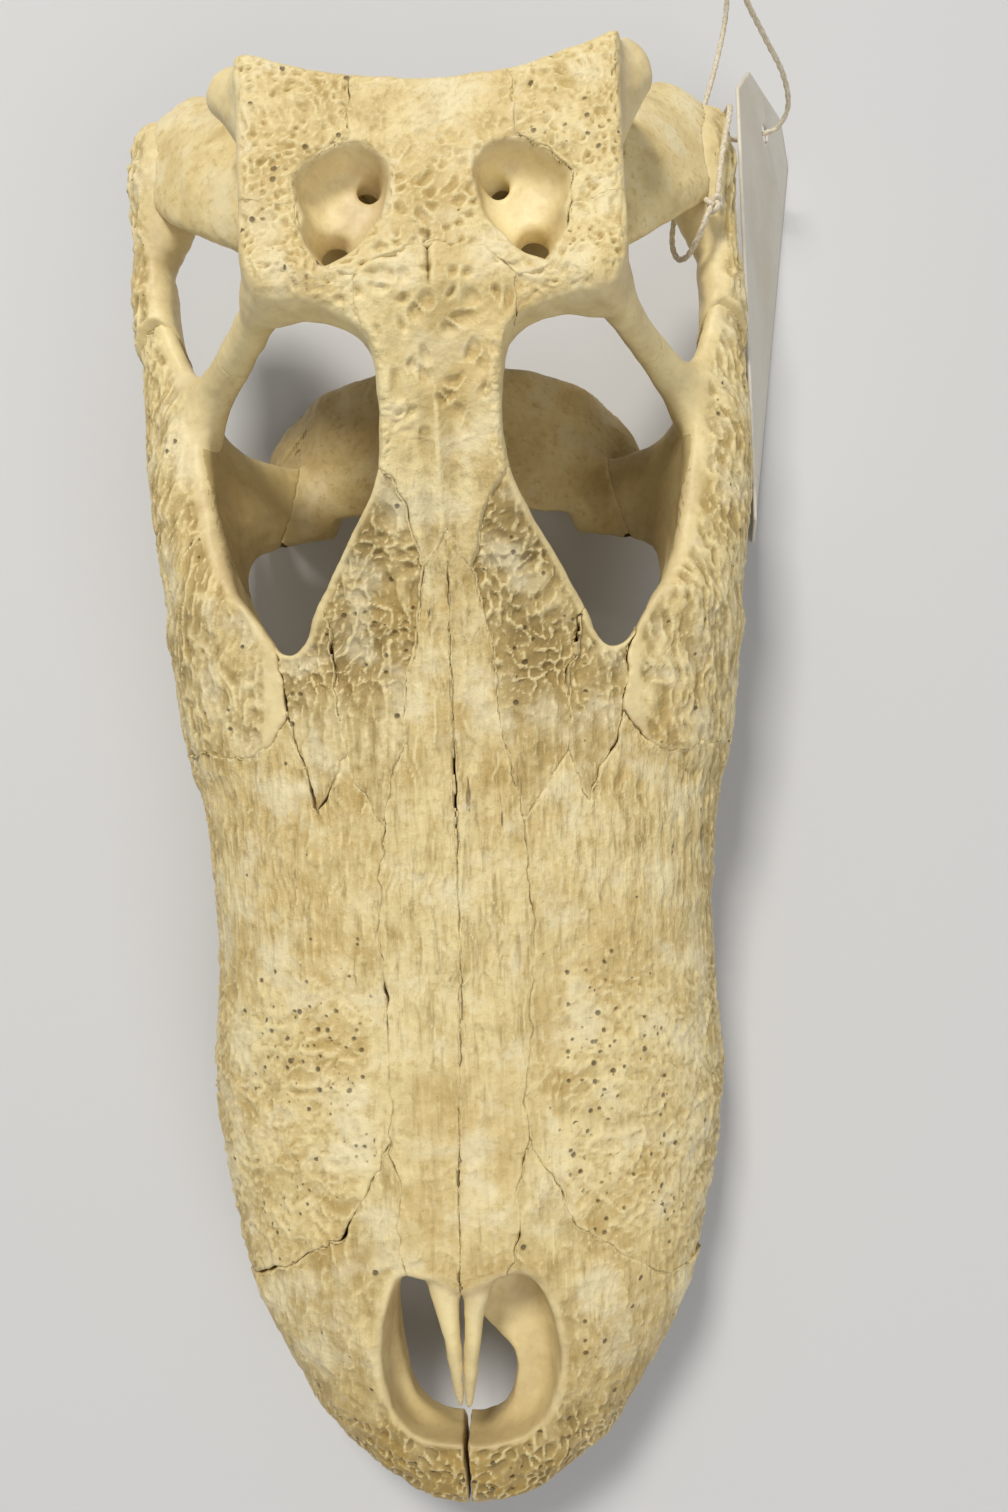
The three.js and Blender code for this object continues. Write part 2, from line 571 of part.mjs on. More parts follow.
function add(name, solid, colour, isBone = true) {
  const whole = solid.decompose().sort((a, b) => b.volume() - a.volume())[0];
  const mesh = whole.getMesh();
  const geometry = new THREE.BufferGeometry();
  geometry.setAttribute("position", new THREE.BufferAttribute(mesh.vertProperties, 3));
  geometry.setIndex(new THREE.BufferAttribute(mesh.triVerts, 1));
  if (isBone) leanIn(geometry);
  const flat = geometry.toNonIndexed();
  flat.computeVertexNormals();
  const node = new THREE.Mesh(flat, new THREE.MeshStandardMaterial({ color: colour, roughness: 0.7 }));
  node.name = name;
  group.add(node);
}

function nearest(solids, place) {
  const far = (solid) => {
    const { min, max } = solid.boundingBox();
    return point(...place).distanceTo(point(...min.map((v, i) => (v + max[i]) / 2)));
  };
  return solids.slice().sort((a, b) => far(a) - far(b))[0];
}

function pair(name, make, colour) {
  add(`${name}_left`, make(1), colour);
  add(`${name}_right`, make(-1), colour);
}

const sided = (solid) => (side) => (side > 0 ? solid : mirrored(solid));
Object.entries(PLACES).forEach(([name, [x, y, z]]) => {
  pair(name, (side) => nearest(upperBones, [side * x, y, z]), SCULPTED);
});
add("frontal", nearest(upperBones, FRONTAL_PLACE), SCULPTED);
add("parietal", nearest(upperBones, PARIETAL_PLACE), SCULPTED);
const aroundBrain = join([occiput(SUTURE), braincase(SUTURE)].flatMap(bothSides));
const quadrateLeft = belowRoof(quadrate()).subtract(aroundBrain);
const cheekSeam = point(0, Math.cos(CHEEK_SLANT), -Math.sin(CHEEK_SLANT));
const seamAt = cheekSeam.dot(point(0, 114.3, 55)) + SUTURE / 2;
const cheekBar = quadratojugal().trimByPlane(cheekSeam.toArray(), seamAt);
pair("quadrate", sided(quadrateLeft), SMOOTH);
pair("quadratojugal", sided(cheekBar.subtract(quadrate(SUTURE))), SMOOTH);
add("braincase", lowerSkull.subtract(join([cordHole(), aroundNeck])), SMOOTH);
add("basioccipital", neck.subtract(cordHole()), SMOOTH);
const palatineFront = leftHalf(palatine).trimByPlane([0, -1, 0], -PTERYGOID_FRONT);
const palatineLeft = palatineFront.subtract(wing(SUTURE));
pair("palatine", sided(palatineLeft), SMOOTH);
pair("pterygoid", sided(pterygoid), SMOOTH);
const ecto = ectopterygoid().subtract(join([jugal(SUTURE + 0.1), wing(SUTURE)]));
pair("ectopterygoid", sided(ecto), SMOOTH);
const bones = new THREE.Box3().setFromObject(group);
add("tag", card(), PAPER, false);
add("tag_string", string(), THREAD, false);
const centre = bones.getCenter(point(0, 0, 0));
group.children.forEach((node) => node.geometry.translate(-centre.x, -centre.y, -bones.min.z));
export default group;
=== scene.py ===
import functools
import math
import bpy
import numpy as np
from mathutils import Matrix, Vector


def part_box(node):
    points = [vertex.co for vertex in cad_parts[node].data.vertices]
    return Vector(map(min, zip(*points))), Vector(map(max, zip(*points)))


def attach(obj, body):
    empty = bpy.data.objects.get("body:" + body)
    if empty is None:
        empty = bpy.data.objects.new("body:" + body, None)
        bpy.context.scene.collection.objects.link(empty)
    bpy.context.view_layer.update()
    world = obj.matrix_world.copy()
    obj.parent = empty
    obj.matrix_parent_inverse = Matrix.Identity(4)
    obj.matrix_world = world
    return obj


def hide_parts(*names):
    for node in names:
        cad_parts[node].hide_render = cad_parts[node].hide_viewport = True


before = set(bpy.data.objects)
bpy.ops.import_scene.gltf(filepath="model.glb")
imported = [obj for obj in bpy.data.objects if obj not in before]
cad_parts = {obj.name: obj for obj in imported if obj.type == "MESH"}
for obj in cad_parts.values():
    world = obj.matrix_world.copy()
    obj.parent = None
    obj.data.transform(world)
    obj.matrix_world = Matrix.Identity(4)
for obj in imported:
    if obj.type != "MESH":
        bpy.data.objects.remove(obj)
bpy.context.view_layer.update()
print("frame loaded:", len(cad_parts), "nodes")

# Shapes are worked out in millimetres along the skull, y running back, then moved into the frame.
mm = 0.001
solidTip = -136.6  # front of the frame's premaxillae in the skull's own y
leftBox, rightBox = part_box("premaxilla_left"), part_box("premaxilla_right")
backShift = leftBox[0][1] / mm - solidTip  # from the skull's own y to the frame's y
sideShift = (leftBox[0][0] + rightBox[1][0]) / 2 / mm  # the midline's x in the frame


def toFrame(points):  # millimetres along the skull to metres in the frame
    return (np.asarray(points, float) + (sideShift, backShift, 0.0)) * mm


# Camera
view = dict(place=(10.0, -26.0, 288.7), tilt=10.0, roll=1.8, lens=27.05, sensor=36.0, nearest=0.01)


def placeCamera():
    # looks straight down, tipped forward by tilt, then turned about its own axis by roll
    tilt, roll = math.radians(view["tilt"]), math.radians(view["roll"])
    right, up = np.array([1.0, 0, 0]), np.array([0, math.cos(tilt), math.sin(tilt)])
    ahead = np.array([0, math.sin(tilt), -math.cos(tilt)])
    camRight = math.cos(roll) * right - math.sin(roll) * up
    camUp = math.sin(roll) * right + math.cos(roll) * up
    turn = np.eye(4)
    turn[:3, 0], turn[:3, 1], turn[:3, 2] = camRight, camUp, -ahead
    turn[:3, 3] = toFrame(view["place"])
    data = bpy.data.cameras.new("camera")
    data.sensor_fit = "VERTICAL"
    data.sensor_height, data.lens = view["sensor"], view["lens"]
    data.clip_start = view["nearest"]
    eye = bpy.data.objects.new("camera", data)
    eye.matrix_world = Matrix(turn.tolist())
    bpy.context.collection.objects.link(eye)
    bpy.context.scene.camera = eye


placeCamera()


# Finishes. Bone is pale and dry, stained with ochre; the ochre, tan and near black in its pits and creases are
# painted shade, and its paler convex edges a painted highlight.
# The near black marks cracks and pores and is painted shade in deep creases; the darker inner tone is painted shade
# on inner walls and undersides; the grey-beige multiplier is painted shade over the inner bones.
finish = dict(
    pale=(0.84, 0.70, 0.365), cream=(0.69, 0.52, 0.225), ochre=(0.41, 0.265, 0.06), tan=(0.26, 0.175, 0.055),
    grimeAndShade=(0.07, 0.042, 0.02), inner=(0.60, 0.48, 0.28), chalk=(0.88, 0.79, 0.53), enamel=(0.72, 0.60, 0.38),
    paper=(0.80, 0.76, 0.66), paperStain=(0.60, 0.50, 0.34), thread=(0.82, 0.77, 0.64), sunk=(0.66, 0.62, 0.54),
)


def nodeIn(tree, kind, **settings):
    made = tree.nodes.new(kind)
    for key, value in settings.items():
        if key in made.inputs:
            made.inputs[key].default_value = value
        else:
            setattr(made, key, value)
    return made


def feed(tree, socket, value):  # links an output, or sets a plain value
    if hasattr(value, "is_output"):
        tree.links.new(value, socket)
    else:
        socket.default_value = (*value, 1) if isinstance(value, tuple) else value


def mixIn(tree, factor, a, b, kind="MIX"):  # colour a going over to colour b by factor
    made = tree.nodes.new("ShaderNodeMix")
    made.data_type, made.blend_type = "RGBA", kind
    for number, value in ((0, factor), (6, a), (7, b)):
        feed(tree, made.inputs[number], value)
    return made.outputs[2]


def mathIn(tree, kind, a, b=0.0, clamp=False):
    made = tree.nodes.new("ShaderNodeMath")
    made.operation, made.use_clamp = kind, clamp
    feed(tree, made.inputs[0], a)
    feed(tree, made.inputs[1], b)
    return made.outputs[0]


def noiseIn(tree, where, scale, detail=3.0, rough=0.55, stretch=None):
    if stretch:
        turn = nodeIn(tree, "ShaderNodeMapping")
        turn.inputs["Scale"].default_value = stretch
        tree.links.new(where, turn.inputs["Vector"])
        where = turn.outputs["Vector"]
    made = nodeIn(tree, "ShaderNodeTexNoise", Scale=scale, Detail=detail, Roughness=rough)
    tree.links.new(where, made.inputs["Vector"])
    return made.outputs["Fac"]


def rangeIn(tree, value, low, high):  # 0 below low to 1 above high
    made = nodeIn(tree, "ShaderNodeMapRange", interpolation_type="SMOOTHSTEP")
    made.inputs["From Min"].default_value, made.inputs["From Max"].default_value = low, high
    tree.links.new(value, made.inputs["Value"])
    return made.outputs["Result"]


def newGroup(name, takes, gives):
    group = bpy.data.node_groups.new(name, "ShaderNodeTree")
    for label, kind in takes:
        group.interface.new_socket(label, in_out="INPUT", socket_type=kind)
    for label, kind in gives:
        group.interface.new_socket(label, in_out="OUTPUT", socket_type=kind)
    return group, group.nodes.new("NodeGroupInput").outputs, group.nodes.new("NodeGroupOutput").inputs


aged = ("Hollow", "Crease", "Outer", "Stain", "Streak", "Pores", "DirtShade")  # what a bone carries at its points
grain = dict(
    broad=(45, 6, 0.7), patch=(95, 3, 0.5), fine=(520, 5, 0.65), fibre=(1.0, 4, 0.6, (780, 62, 520)),
    crack=(1.0, 2, 0.5, (560, 28, 300)), pores=500.0, poreEdge=(0.38, 0.14), poreSpread=0.24, poreDepth=1.2,
    gloss=(0.34, 0.3), relief=(0.15, 0.55, 0.8),
)  # noise as waves a metre, detail, roughness and stretch; pores; least roughness and its play; the bump's make-up


def makeAgeing():
    # cream mottled and streaked with ochre, darker with painted shade where the surface is hollow or creased, paler
    # with a painted highlight on convex edges, pierced by fine pores:
    # each layer goes over the ones before it by a mask times its strength
    group, take, give = newGroup(
        "ageing", [("Where", "NodeSocketVector")] + [(label, "NodeSocketFloat") for label in aged],
        [("Color", "NodeSocketColor"), ("Roughness", "NodeSocketFloat"), ("Height", "NodeSocketFloat")])

    def times(a, b):
        return mathIn(group, "MULTIPLY", a, b, True)

    def plus(a, b):
        return mathIn(group, "ADD", a, b)

    def rest(a):
        return mathIn(group, "SUBTRACT", 1.0, a)

    def between(value, low, high):
        return rangeIn(group, value, low, high)

    broad, patch, fine, fibre, crack = (
        noiseIn(group, take["Where"], *grain[name]) for name in ("broad", "patch", "fine", "fibre", "crack"))
    hole = nodeIn(group, "ShaderNodeTexVoronoi", Scale=grain["pores"])
    group.links.new(take["Where"], hole.inputs["Vector"])
    chosen = nodeIn(group, "ShaderNodeSeparateColor")
    group.links.new(hole.outputs["Color"], chosen.inputs["Color"])
    size = plus(hole.outputs["Distance"], times(chosen.outputs[1], grain["poreSpread"]))
    few = mathIn(group, "LESS_THAN", chosen.outputs[0], take["Pores"])
    pierced = times(few, between(size, *grain["poreEdge"]))

    streak, outer, crease = take["Streak"], take["Outer"], take["Crease"]
    # plain: the tone of inner walls and undersides, pale going over to the darker inner tone, painted shade
    plain = mixIn(group, between(broad, 0.35, 0.7), finish["pale"], finish["inner"])
    layers = [
        (between(patch, 0.52, 0.7), 0.4, finish["ochre"]),
        (between(fine, 0.5, 0.74), 0.5, finish["ochre"]),
        (times(between(fibre, 0.5, 0.72), streak), 0.6, finish["tan"]),
        (times(between(fibre, 0.46, 0.3), streak), 0.6, finish["pale"]),
        (times(between(crack, 0.7, 0.76), streak), 0.8, finish["grimeAndShade"]),
        (times(take["Stain"], between(plus(broad, times(fine, 0.4)), 0.22, 0.6)), 1.0, finish["ochre"]),
        # painted shade: ochre in the pits, darker the deeper they are sunk
        (between(take["Hollow"], 0.2, 1.1), 0.55, finish["ochre"]),
        # tan in hollows, as much as each bone asks: part dirt, part painted shade
        (times(take["DirtShade"], between(plus(take["Hollow"], times(fine, 0.6)), 0.35, 1.1)), 0.7, finish["tan"]),
        # painted shade: tan, then near black, in concave creases
        (between(crease, 0.03, 0.25), 0.5, finish["tan"]),
        (between(crease, 0.2, 0.5), 0.6, finish["grimeAndShade"]),
        # painted highlight: pale on the convex edges of outward faces
        (times(between(crease, -0.01, -0.12), outer), 0.7, finish["pale"]),
        (times(between(plus(patch, times(fine, 0.25)), 0.64, 0.44), rest(take["Stain"])), 0.5, finish["chalk"]),
        # painted shade: inner walls and undersides go most of the way to that plainer, darker tone
        (rest(outer), 0.6, plain),
        (pierced, 0.8, finish["grimeAndShade"]),
    ]  # mask, strength, colour
    colour = mixIn(group, between(broad, 0.36, 0.66), finish["pale"], finish["cream"])
    for mask, strength, over in layers:
        colour = mixIn(group, times(mask, strength), colour, over)
    everywhere, outside, along = grain["relief"]
    height = plus(times(fine, plus(everywhere, times(outer, outside))), times(times(fibre, streak), along))
    least, play = grain["gloss"]
    group.links.new(colour, give["Color"])
    group.links.new(plus(least, times(fine, play)), give["Roughness"])
    group.links.new(mathIn(group, "SUBTRACT", height, times(pierced, grain["poreDepth"])), give["Height"])
    return group


ageing = makeAgeing()


def newMaterial(name):
    made = bpy.data.materials.new(name)
    made.use_nodes = True
    tree = made.node_tree
    where = tree.nodes.new("ShaderNodeTexCoord").outputs["Object"]
    return made, tree, tree.nodes["Principled BSDF"], where


def attributeIn(tree, name):
    return nodeIn(tree, "ShaderNodeAttribute", attribute_name=name).outputs["Fac"]


def bumpIn(tree, shader, height, strength, depth):  # raises the surface by height, at most depth metres
    raised = nodeIn(tree, "ShaderNodeBump", Strength=strength, Distance=depth)
    tree.links.new(height, raised.inputs["Height"])
    tree.links.new(raised.outputs["Normal"], shader.inputs["Normal"])


def makeBone(name, bump, shade=(1.0, 1.0, 1.0)):
    # the ageing group's colour times shade, which is white but for the inner bones, where it is painted shade, with
    # enamel over it on the teeth
    made, tree, shader, where = newMaterial(name)
    old = tree.nodes.new("ShaderNodeGroup")
    old.node_tree = ageing
    tree.links.new(where, old.inputs["Where"])
    for label in aged:
        tree.links.new(attributeIn(tree, label.lower()), old.inputs[label])
    shaded = mixIn(tree, 1.0, old.outputs["Color"], shade, "MULTIPLY")
    colour = mixIn(tree, attributeIn(tree, "enamel"), shaded, finish["enamel"])
    tree.links.new(colour, shader.inputs["Base Color"])
    tree.links.new(old.outputs["Roughness"], shader.inputs["Roughness"])
    bumpIn(tree, shader, old.outputs["Height"], bump, 0.001)
    shader.inputs["Specular IOR Level"].default_value = 0.4
    return made


def makePaper():  # pale, with broad stains and faint fibres
    made, tree, shader, where = newMaterial("paper")
    fibre = noiseIn(tree, where, 260, 5, 0.7, (1.0, 3.0, 1.0))
    patch = noiseIn(tree, where, 22, 3)
    colour = finish["paper"]
    for noise, low, high, strength in ((patch, 0.4, 0.75, 0.45), (fibre, 0.45, 0.7, 0.18)):
        mask = mathIn(tree, "MULTIPLY", rangeIn(tree, noise, low, high), strength)
        colour = mixIn(tree, mask, colour, finish["paperStain"])
    tree.links.new(colour, shader.inputs["Base Color"])
    bumpIn(tree, shader, fibre, 0.15, 0.0003)
    shader.inputs["Roughness"].default_value = 0.8
    return made


def makeThread():  # pale fibres over darker ones
    made, tree, shader, where = newMaterial("thread")
    fibre = noiseIn(tree, where, 1500, 4, 0.7)
    colour = mixIn(tree, rangeIn(tree, fibre, 0.35, 0.7), finish["paperStain"], finish["thread"])
    tree.links.new(colour, shader.inputs["Base Color"])
    bumpIn(tree, shader, fibre, 0.5, 0.0002)
    shader.inputs["Roughness"].default_value = 0.9
    return made


# the inner bones' material is multiplied down by the grey-beige tone as painted shade
materials = dict(
    bone_sculpted=makeBone("boneSculpted", 0.7), bone_smooth=makeBone("boneSmooth", 0.4),
    deep=makeBone("boneDeepShaded", 0.4, finish["sunk"]), paper=makePaper(), string=makeThread(),
)
print("finishes ready:", ", ".join(materials))


pieces = []  # name and triangles of each piece made


def addPiece(name, points, quads, slot, node=None, values=None, look=None):
    # one smooth mesh from points in millimetres, with a value at each point for every name in values
    mesh = bpy.data.meshes.new(name)
    mesh.from_pydata(toFrame(points), [], quads)
    mesh.polygons.foreach_set("use_smooth", np.ones(len(mesh.polygons), bool))
    for key, value in (values or {}).items():
        mesh.attributes.new(key, "FLOAT", "POINT").data.foreach_set("value", np.asarray(value, np.float32))
    mesh.materials.append(materials[look or slot])
    mesh.update()
    piece = bpy.data.objects.new(name, mesh)
    bpy.context.scene.collection.objects.link(piece)
    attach(piece, "root")
    if node:
        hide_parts(node)
    pieces.append((name, 2 * len(quads)))
    return piece


# String and tag. The string runs round the back of the left cheek and through the tag's hole, from knot to knot.
tag = dict(
    thickness=0.7, upper=((68.9, 70, 43), (72.2, 191, 43.5)), lower=((78, 80.5, 0.4), (96.8, 201.5, 0.4)),
    clip=10.0, hole=2.8, holeFromEnd=11.0, around=168, rings=26,
)  # a stiff card leaning on the cheek, its hinder corners cut off and a hole punched near that end
string = dict(
    radius=0.7, waist=0.68, plyTurn=2.8, sides=14, steps=14,
    knot=(59.7, 134.9, 64.4), knotSize=0.605, knotThread=0.62, knotSteps=72, knotSides=10,
    route=[(60.6, 136.4, 64.2), (62, 146, 66.3), (64.4, 156, 64.4), (66.2, 163.5, 58.5), (67.6, 170, 49),
           (69.2, 176.5, 38), (71.6, 181.6, 27.5), (75.2, 184.8, 20.8), (79.4, 185.7, 20), (83.5, 185.3, 21.9),
           (87, 185.4, 24.6), (88.2, 187.2, 30), (85.2, 189.6, 37.6), (79.2, 191.6, 46.4), (72.8, 193.8, 55.6),
           (68, 199.2, 62.4), (65.8, 206.6, 64.4), (67, 211.8, 60), (69.6, 209.4, 52), (70.2, 200.5, 45.6),
           (67.4, 188.4, 42), (62.2, 172, 42.6), (57, 155, 45.4), (53.4, 140, 46.8), (53.4, 131.6, 50.2),
           (54.6, 127.6, 56.4), (56, 127.8, 62.4), (57.6, 130.6, 65.8), (58.9, 133.6, 65)],
)  # from the knot out through the hole, round behind, under the jaw joint and up to the knot again


def eased(a, b, m, n, t):  # the cubic from a to b as t goes from 0 to 1, with slope m at a and n at b
    return a + t * (m + t * (3 * (b - a) - 2 * m - n + t * (m + n - 2 * (b - a))))


def throughPoints(points, steps):
    # a smooth open line: each stretch eased by the slopes between its neighbours
    p = np.array(points, float)
    padded = np.vstack([2 * p[0] - p[1], p, 2 * p[-1] - p[-2]])
    t = (np.arange(steps) / steps)[None, :, None]
    slope = 0.5 * (padded[2:] - padded[:-2])
    line = eased(padded[1:-2, None], padded[2:-1, None], slope[:-1, None], slope[1:, None], t)
    return np.vstack([line.reshape(-1, p.shape[1]), p[-1]])


def gridQuads(rows, columns, closedRows=False, closedColumns=False):
    # the four corners of each cell of a grid of points, the last joined to the first where closed
    i = np.arange(rows if closedRows else rows - 1)[:, None]
    j = np.arange(columns if closedColumns else columns - 1)[None, :]
    a, b = i * columns + j, ((i + 1) % rows) * columns + j
    c, d = ((i + 1) % rows) * columns + (j + 1) % columns, i * columns + (j + 1) % columns
    return np.stack([a, b, c, d], -1).reshape(-1, 4)


def alongPath(line, radii, closed=False):
    # a section carried along a line: the side direction is passed on from point to point, kept square to the line
    ahead = np.roll(line, -1, 0) - np.roll(line, 1, 0) if closed else np.gradient(line, axis=0)
    ahead /= np.linalg.norm(ahead, axis=1)[:, None]
    side = [np.cross(ahead[0], (0.3, 0.2, 0.93))]
    for way in ahead[1:]:
        side.append(side[-1] - way * (side[-1] @ way))
    side = np.array(side)
    side /= np.linalg.norm(side, axis=1)[:, None]
    up = np.cross(ahead, side)
    angle = np.linspace(0, 2 * np.pi, radii.shape[1], endpoint=False)
    spoke = side[:, None] * np.cos(angle)[:, None] + up[:, None] * np.sin(angle)[:, None]
    return line[:, None] + radii[..., None] * spoke


def makeString():
    # two plies: a section with two lobes that turns as it goes along the route
    line = throughPoints(string["route"], string["steps"])
    far = np.concatenate([[0], np.cumsum(np.linalg.norm(np.diff(line, axis=0), axis=1))])
    angle = np.linspace(0, 2 * np.pi, string["sides"], endpoint=False)[None, :]
    lobes = np.abs(np.cos(angle - 2 * np.pi * far[:, None] / string["plyTurn"] / 2))
    radii = string["radius"] * (string["waist"] + (1 - string["waist"]) * lobes)
    radii[[0, -1]] *= 0.02  # closes both ends
    points = alongPath(line, radii).reshape(-1, 3)
    quads = gridQuads(len(line), string["sides"], False, True)
    piece = addPiece("tagString", points, quads, "string", "tag_string")
    return piece, line, far[-1]


def makeKnot():
    # a thread carried round a closed loop with three lobes, sin t + 2 sin 2t by cos t - 2 cos 2t, drawn tight
    turn = np.linspace(0, 2 * np.pi, string["knotSteps"], endpoint=False)
    loop = [np.sin(turn) + 2 * np.sin(2 * turn), np.cos(turn) - 2 * np.cos(2 * turn), -1.3 * np.sin(3 * turn)]
    line = string["knotSize"] * np.stack(loop, 1) + string["knot"]
    radii = np.full((len(line), string["knotSides"]), string["knotThread"])
    points = alongPath(line, radii, True).reshape(-1, 3)
    return addPiece("stringKnot", points, gridQuads(*radii.shape, True, True), "string")


def makeTag():
    # a warped sheet between two straight edges, on a grid that runs round the hole and from it out to the outline,
    # over the front face and back under the other
    def edge(ends, share):
        low, high = np.array(ends, float)
        return low + (high - low) * share[..., None]

    def sheet(share, down):
        return edge(tag["upper"], share) * (1 - down[..., None]) + edge(tag["lower"], share) * down[..., None]

    start, middle, end = np.array(0.0), np.array(0.5), np.array(1.0)
    long = np.linalg.norm(sheet(end, middle) - sheet(start, middle))
    tall = np.linalg.norm(sheet(middle, end) - sheet(middle, start))
    cut = tag["clip"]
    corners = np.array([(long, tall / 2), (long, tall - cut), (long - cut, tall), (0, tall), (0, 0),
                        (long - cut, 0), (long, cut)], float)
    sides = np.linalg.norm(np.roll(corners, -1, 0) - corners, axis=1)
    far = np.concatenate([[0], np.cumsum(sides)])
    at = np.unique(np.concatenate([np.linspace(0, far[-1], tag["around"], endpoint=False), far[:-1]]))
    outline = np.stack([np.interp(at, far, np.append(corners[:, k], corners[0, k])) for k in range(2)], 1)
    centre = np.array([long - tag["holeFromEnd"], tall / 2])
    angle = np.unwrap(np.arctan2(*(outline - centre).T[::-1]))
    punched = centre + tag["hole"] * np.stack([np.cos(angle), np.sin(angle)], 1)
    out = np.linspace(0, 1, tag["rings"]) ** 1.5  # rings stand closer by the hole
    flat = punched[:, None] + (outline - punched)[:, None] * out[None, :, None]
    share, down = flat[..., 0] / long, flat[..., 1] / tall
    along = sheet(share + 0.01, down) - sheet(share - 0.01, down)
    fall = sheet(share, down + 0.01) - sheet(share, down - 0.01)
    normal = np.cross(along, fall)
    normal /= np.linalg.norm(normal, axis=2)[..., None]
    faces = [sheet(share, down) + side * tag["thickness"] / 2 * normal for side in (1, -1)]
    points = np.concatenate([faces[0], faces[1][:, ::-1]], 1)
    quads = gridQuads(len(at), 2 * tag["rings"], True, True)
    addPiece("tagCard", points.reshape(-1, 3), quads, "paper", "tag")
    return long, tall


def dressTag():
    flatSize = makeTag()
    cord, line, length = makeString()
    knot = makeKnot()
    print("tag %.0f by %.0f mm, string %.0f mm" % (*flatSize, length))


dressTag()


# Curves along the skull.
def profile(pairs):
    # a cubic through [position, value] pairs whose slope at each is that between its neighbours
    at, value = np.array(pairs, float).T
    slope = np.gradient(value, at)
    slope[1:-1] = (value[2:] - value[:-2]) / (at[2:] - at[:-2])

    def curve(y):
        y = np.clip(y, at[0], at[-1])
        i = np.clip(np.searchsorted(at, y, side="right") - 1, 0, len(at) - 2)
        step = at[i + 1] - at[i]
        t = (y - at[i]) / step
        return eased(value[i], value[i + 1], slope[i] * step, slope[i + 1] * step, t)

    return curve


def smooth(low, high, value):  # eases from 0 at low to 1 at high
    t = np.clip((value - low) / (high - low), 0, 1)
    return t * t * (3 - 2 * t)


skull = dict(
    tip=-139.6,
    widthByRoot=[(0, 0), (1.25, 10.6), (3, 24), (4.2, 33.2), (5.26, 39.9), (6.34, 46.9), (7.05, 50.5), (9.21, 58.7),
                 (11.17, 57.4), (13, 62.5), (14.69, 68.5), (16.08, 70.5), (17.28, 71)],
    crown=[(-140, 24.5), (-135.5, 31.5), (-123, 37.8), (-108, 43), (-90, 46.5), (-34, 54), (5, 62), (35, 70),
           (61, 82), (91, 95.5), (99, 99), (135, 102.5)],
    margin=[(-140, 21), (-128, 18.5), (-112, 17), (-97, 20), (-77, 16.5), (-58, 15), (-32, 19), (-9, 24),
            (17, 29), (46, 36), (77, 42), (109, 48), (160, 54)],
    socket=[(-140, 18), (-128, 14), (-112, 12.5), (-97, 15.5), (-77, 12), (-58, 10.5), (-32, 14),
            (-9, 18.5), (17, 23), (32, 28), (47, 34)],
    palate=[(-140, 22), (-112, 21), (-58, 19), (-20, 22.5), (17, 26.5), (47, 35)],
    vaultPower=[(-140, 2.5), (-20, 2.5), (20, 2.2), (47, 1.85)],
    faceEnd=47.0, noseFloor=29.0, noseRamp=(-108.0, 0.105), rim=(0.74, 0.84), lip=(-120, -128), tuck=0.05,
    windowTop=54.0,
)  # half-width by root of the distance from the tip, heights, and the back of the solid snout
crown, margin, socket = profile(skull["crown"]), profile(skull["margin"]), profile(skull["socket"])
palate, vaultPower = profile(skull["palate"]), profile(skull["vaultPower"])
widthByRoot = profile(skull["widthByRoot"])


def halfWidth(y):  # a curve over the root of the distance from the tip, so that the tip comes out round
    return np.maximum(widthByRoot(np.sqrt(np.maximum(y - skull["tip"], 0))), 0.6)


# Patterns: whole arrays of soft noise and of cells
def hashOf(i, j, seed):  # a repeatable number from 0 to 1 for each whole i, j
    n = (i.astype(np.int64) * 374761393 + j.astype(np.int64) * 668265263 + seed * 974634777) & 0xFFFFFFFF
    n = ((n ^ (n >> 13)) * 1274126177) & 0xFFFFFFFF
    return ((n ^ (n >> 16)) & 0xFFFF) / 65535.0


def softNoise(u, v, seed):  # -1 to 1, eased between the numbers at whole u, v
    i, j = np.floor(u), np.floor(v)
    a, b = u - i, v - j
    a, b = a * a * (3 - 2 * a), b * b * (3 - 2 * b)
    low = hashOf(i, j, seed) * (1 - a) + hashOf(i + 1, j, seed) * a
    high = hashOf(i, j + 1, seed) * (1 - a) + hashOf(i + 1, j + 1, seed) * a
    return 2 * (low * (1 - b) + high * b) - 1


def layered(u, v, seed, layers=3):  # soft noise at finer and fainter layers
    return sum(softNoise(u * 2 ** k, v * 2 ** k, seed + k) / 2 ** k for k in range(layers)) / 1.6


def cells(u, v, seed, jitter=0.8):
    # distances to the nearest and second nearest of one jittered point per unit cell, and the nearest's own number
    i, j = np.floor(u), np.floor(v)
    near = np.full(np.shape(u), 9.0)
    second, number = near.copy(), np.zeros(np.shape(u))
    for di in (-1, 0, 1):
        for dj in (-1, 0, 1):
            pu = i + di + 0.5 + jitter * (hashOf(i + di, j + dj, seed) - 0.5)
            pv = j + dj + 0.5 + jitter * (hashOf(i + di, j + dj, seed + 77) - 0.5)
            d = np.hypot(u - pu, v - pv)
            second = np.minimum(second, np.maximum(near, d))
            number = np.where(d < near, hashOf(i + di, j + dj, seed + 154), number)
            near = np.minimum(near, d)
    return near, second, number


# Plan outlines
def roundedLoop(points, steps=8):
    # a closed curve through the points, each stretch eased by the slopes between its neighbours
    p = np.array(points, float)
    after, t = np.roll(p, -1, 0), (np.arange(steps) / steps)[None, :, None]
    slope = 0.5 * (after - np.roll(p, 1, 0))
    return eased(p[:, None], after[:, None], slope[:, None], np.roll(slope, -1, 0)[:, None], t).reshape(-1, 2)


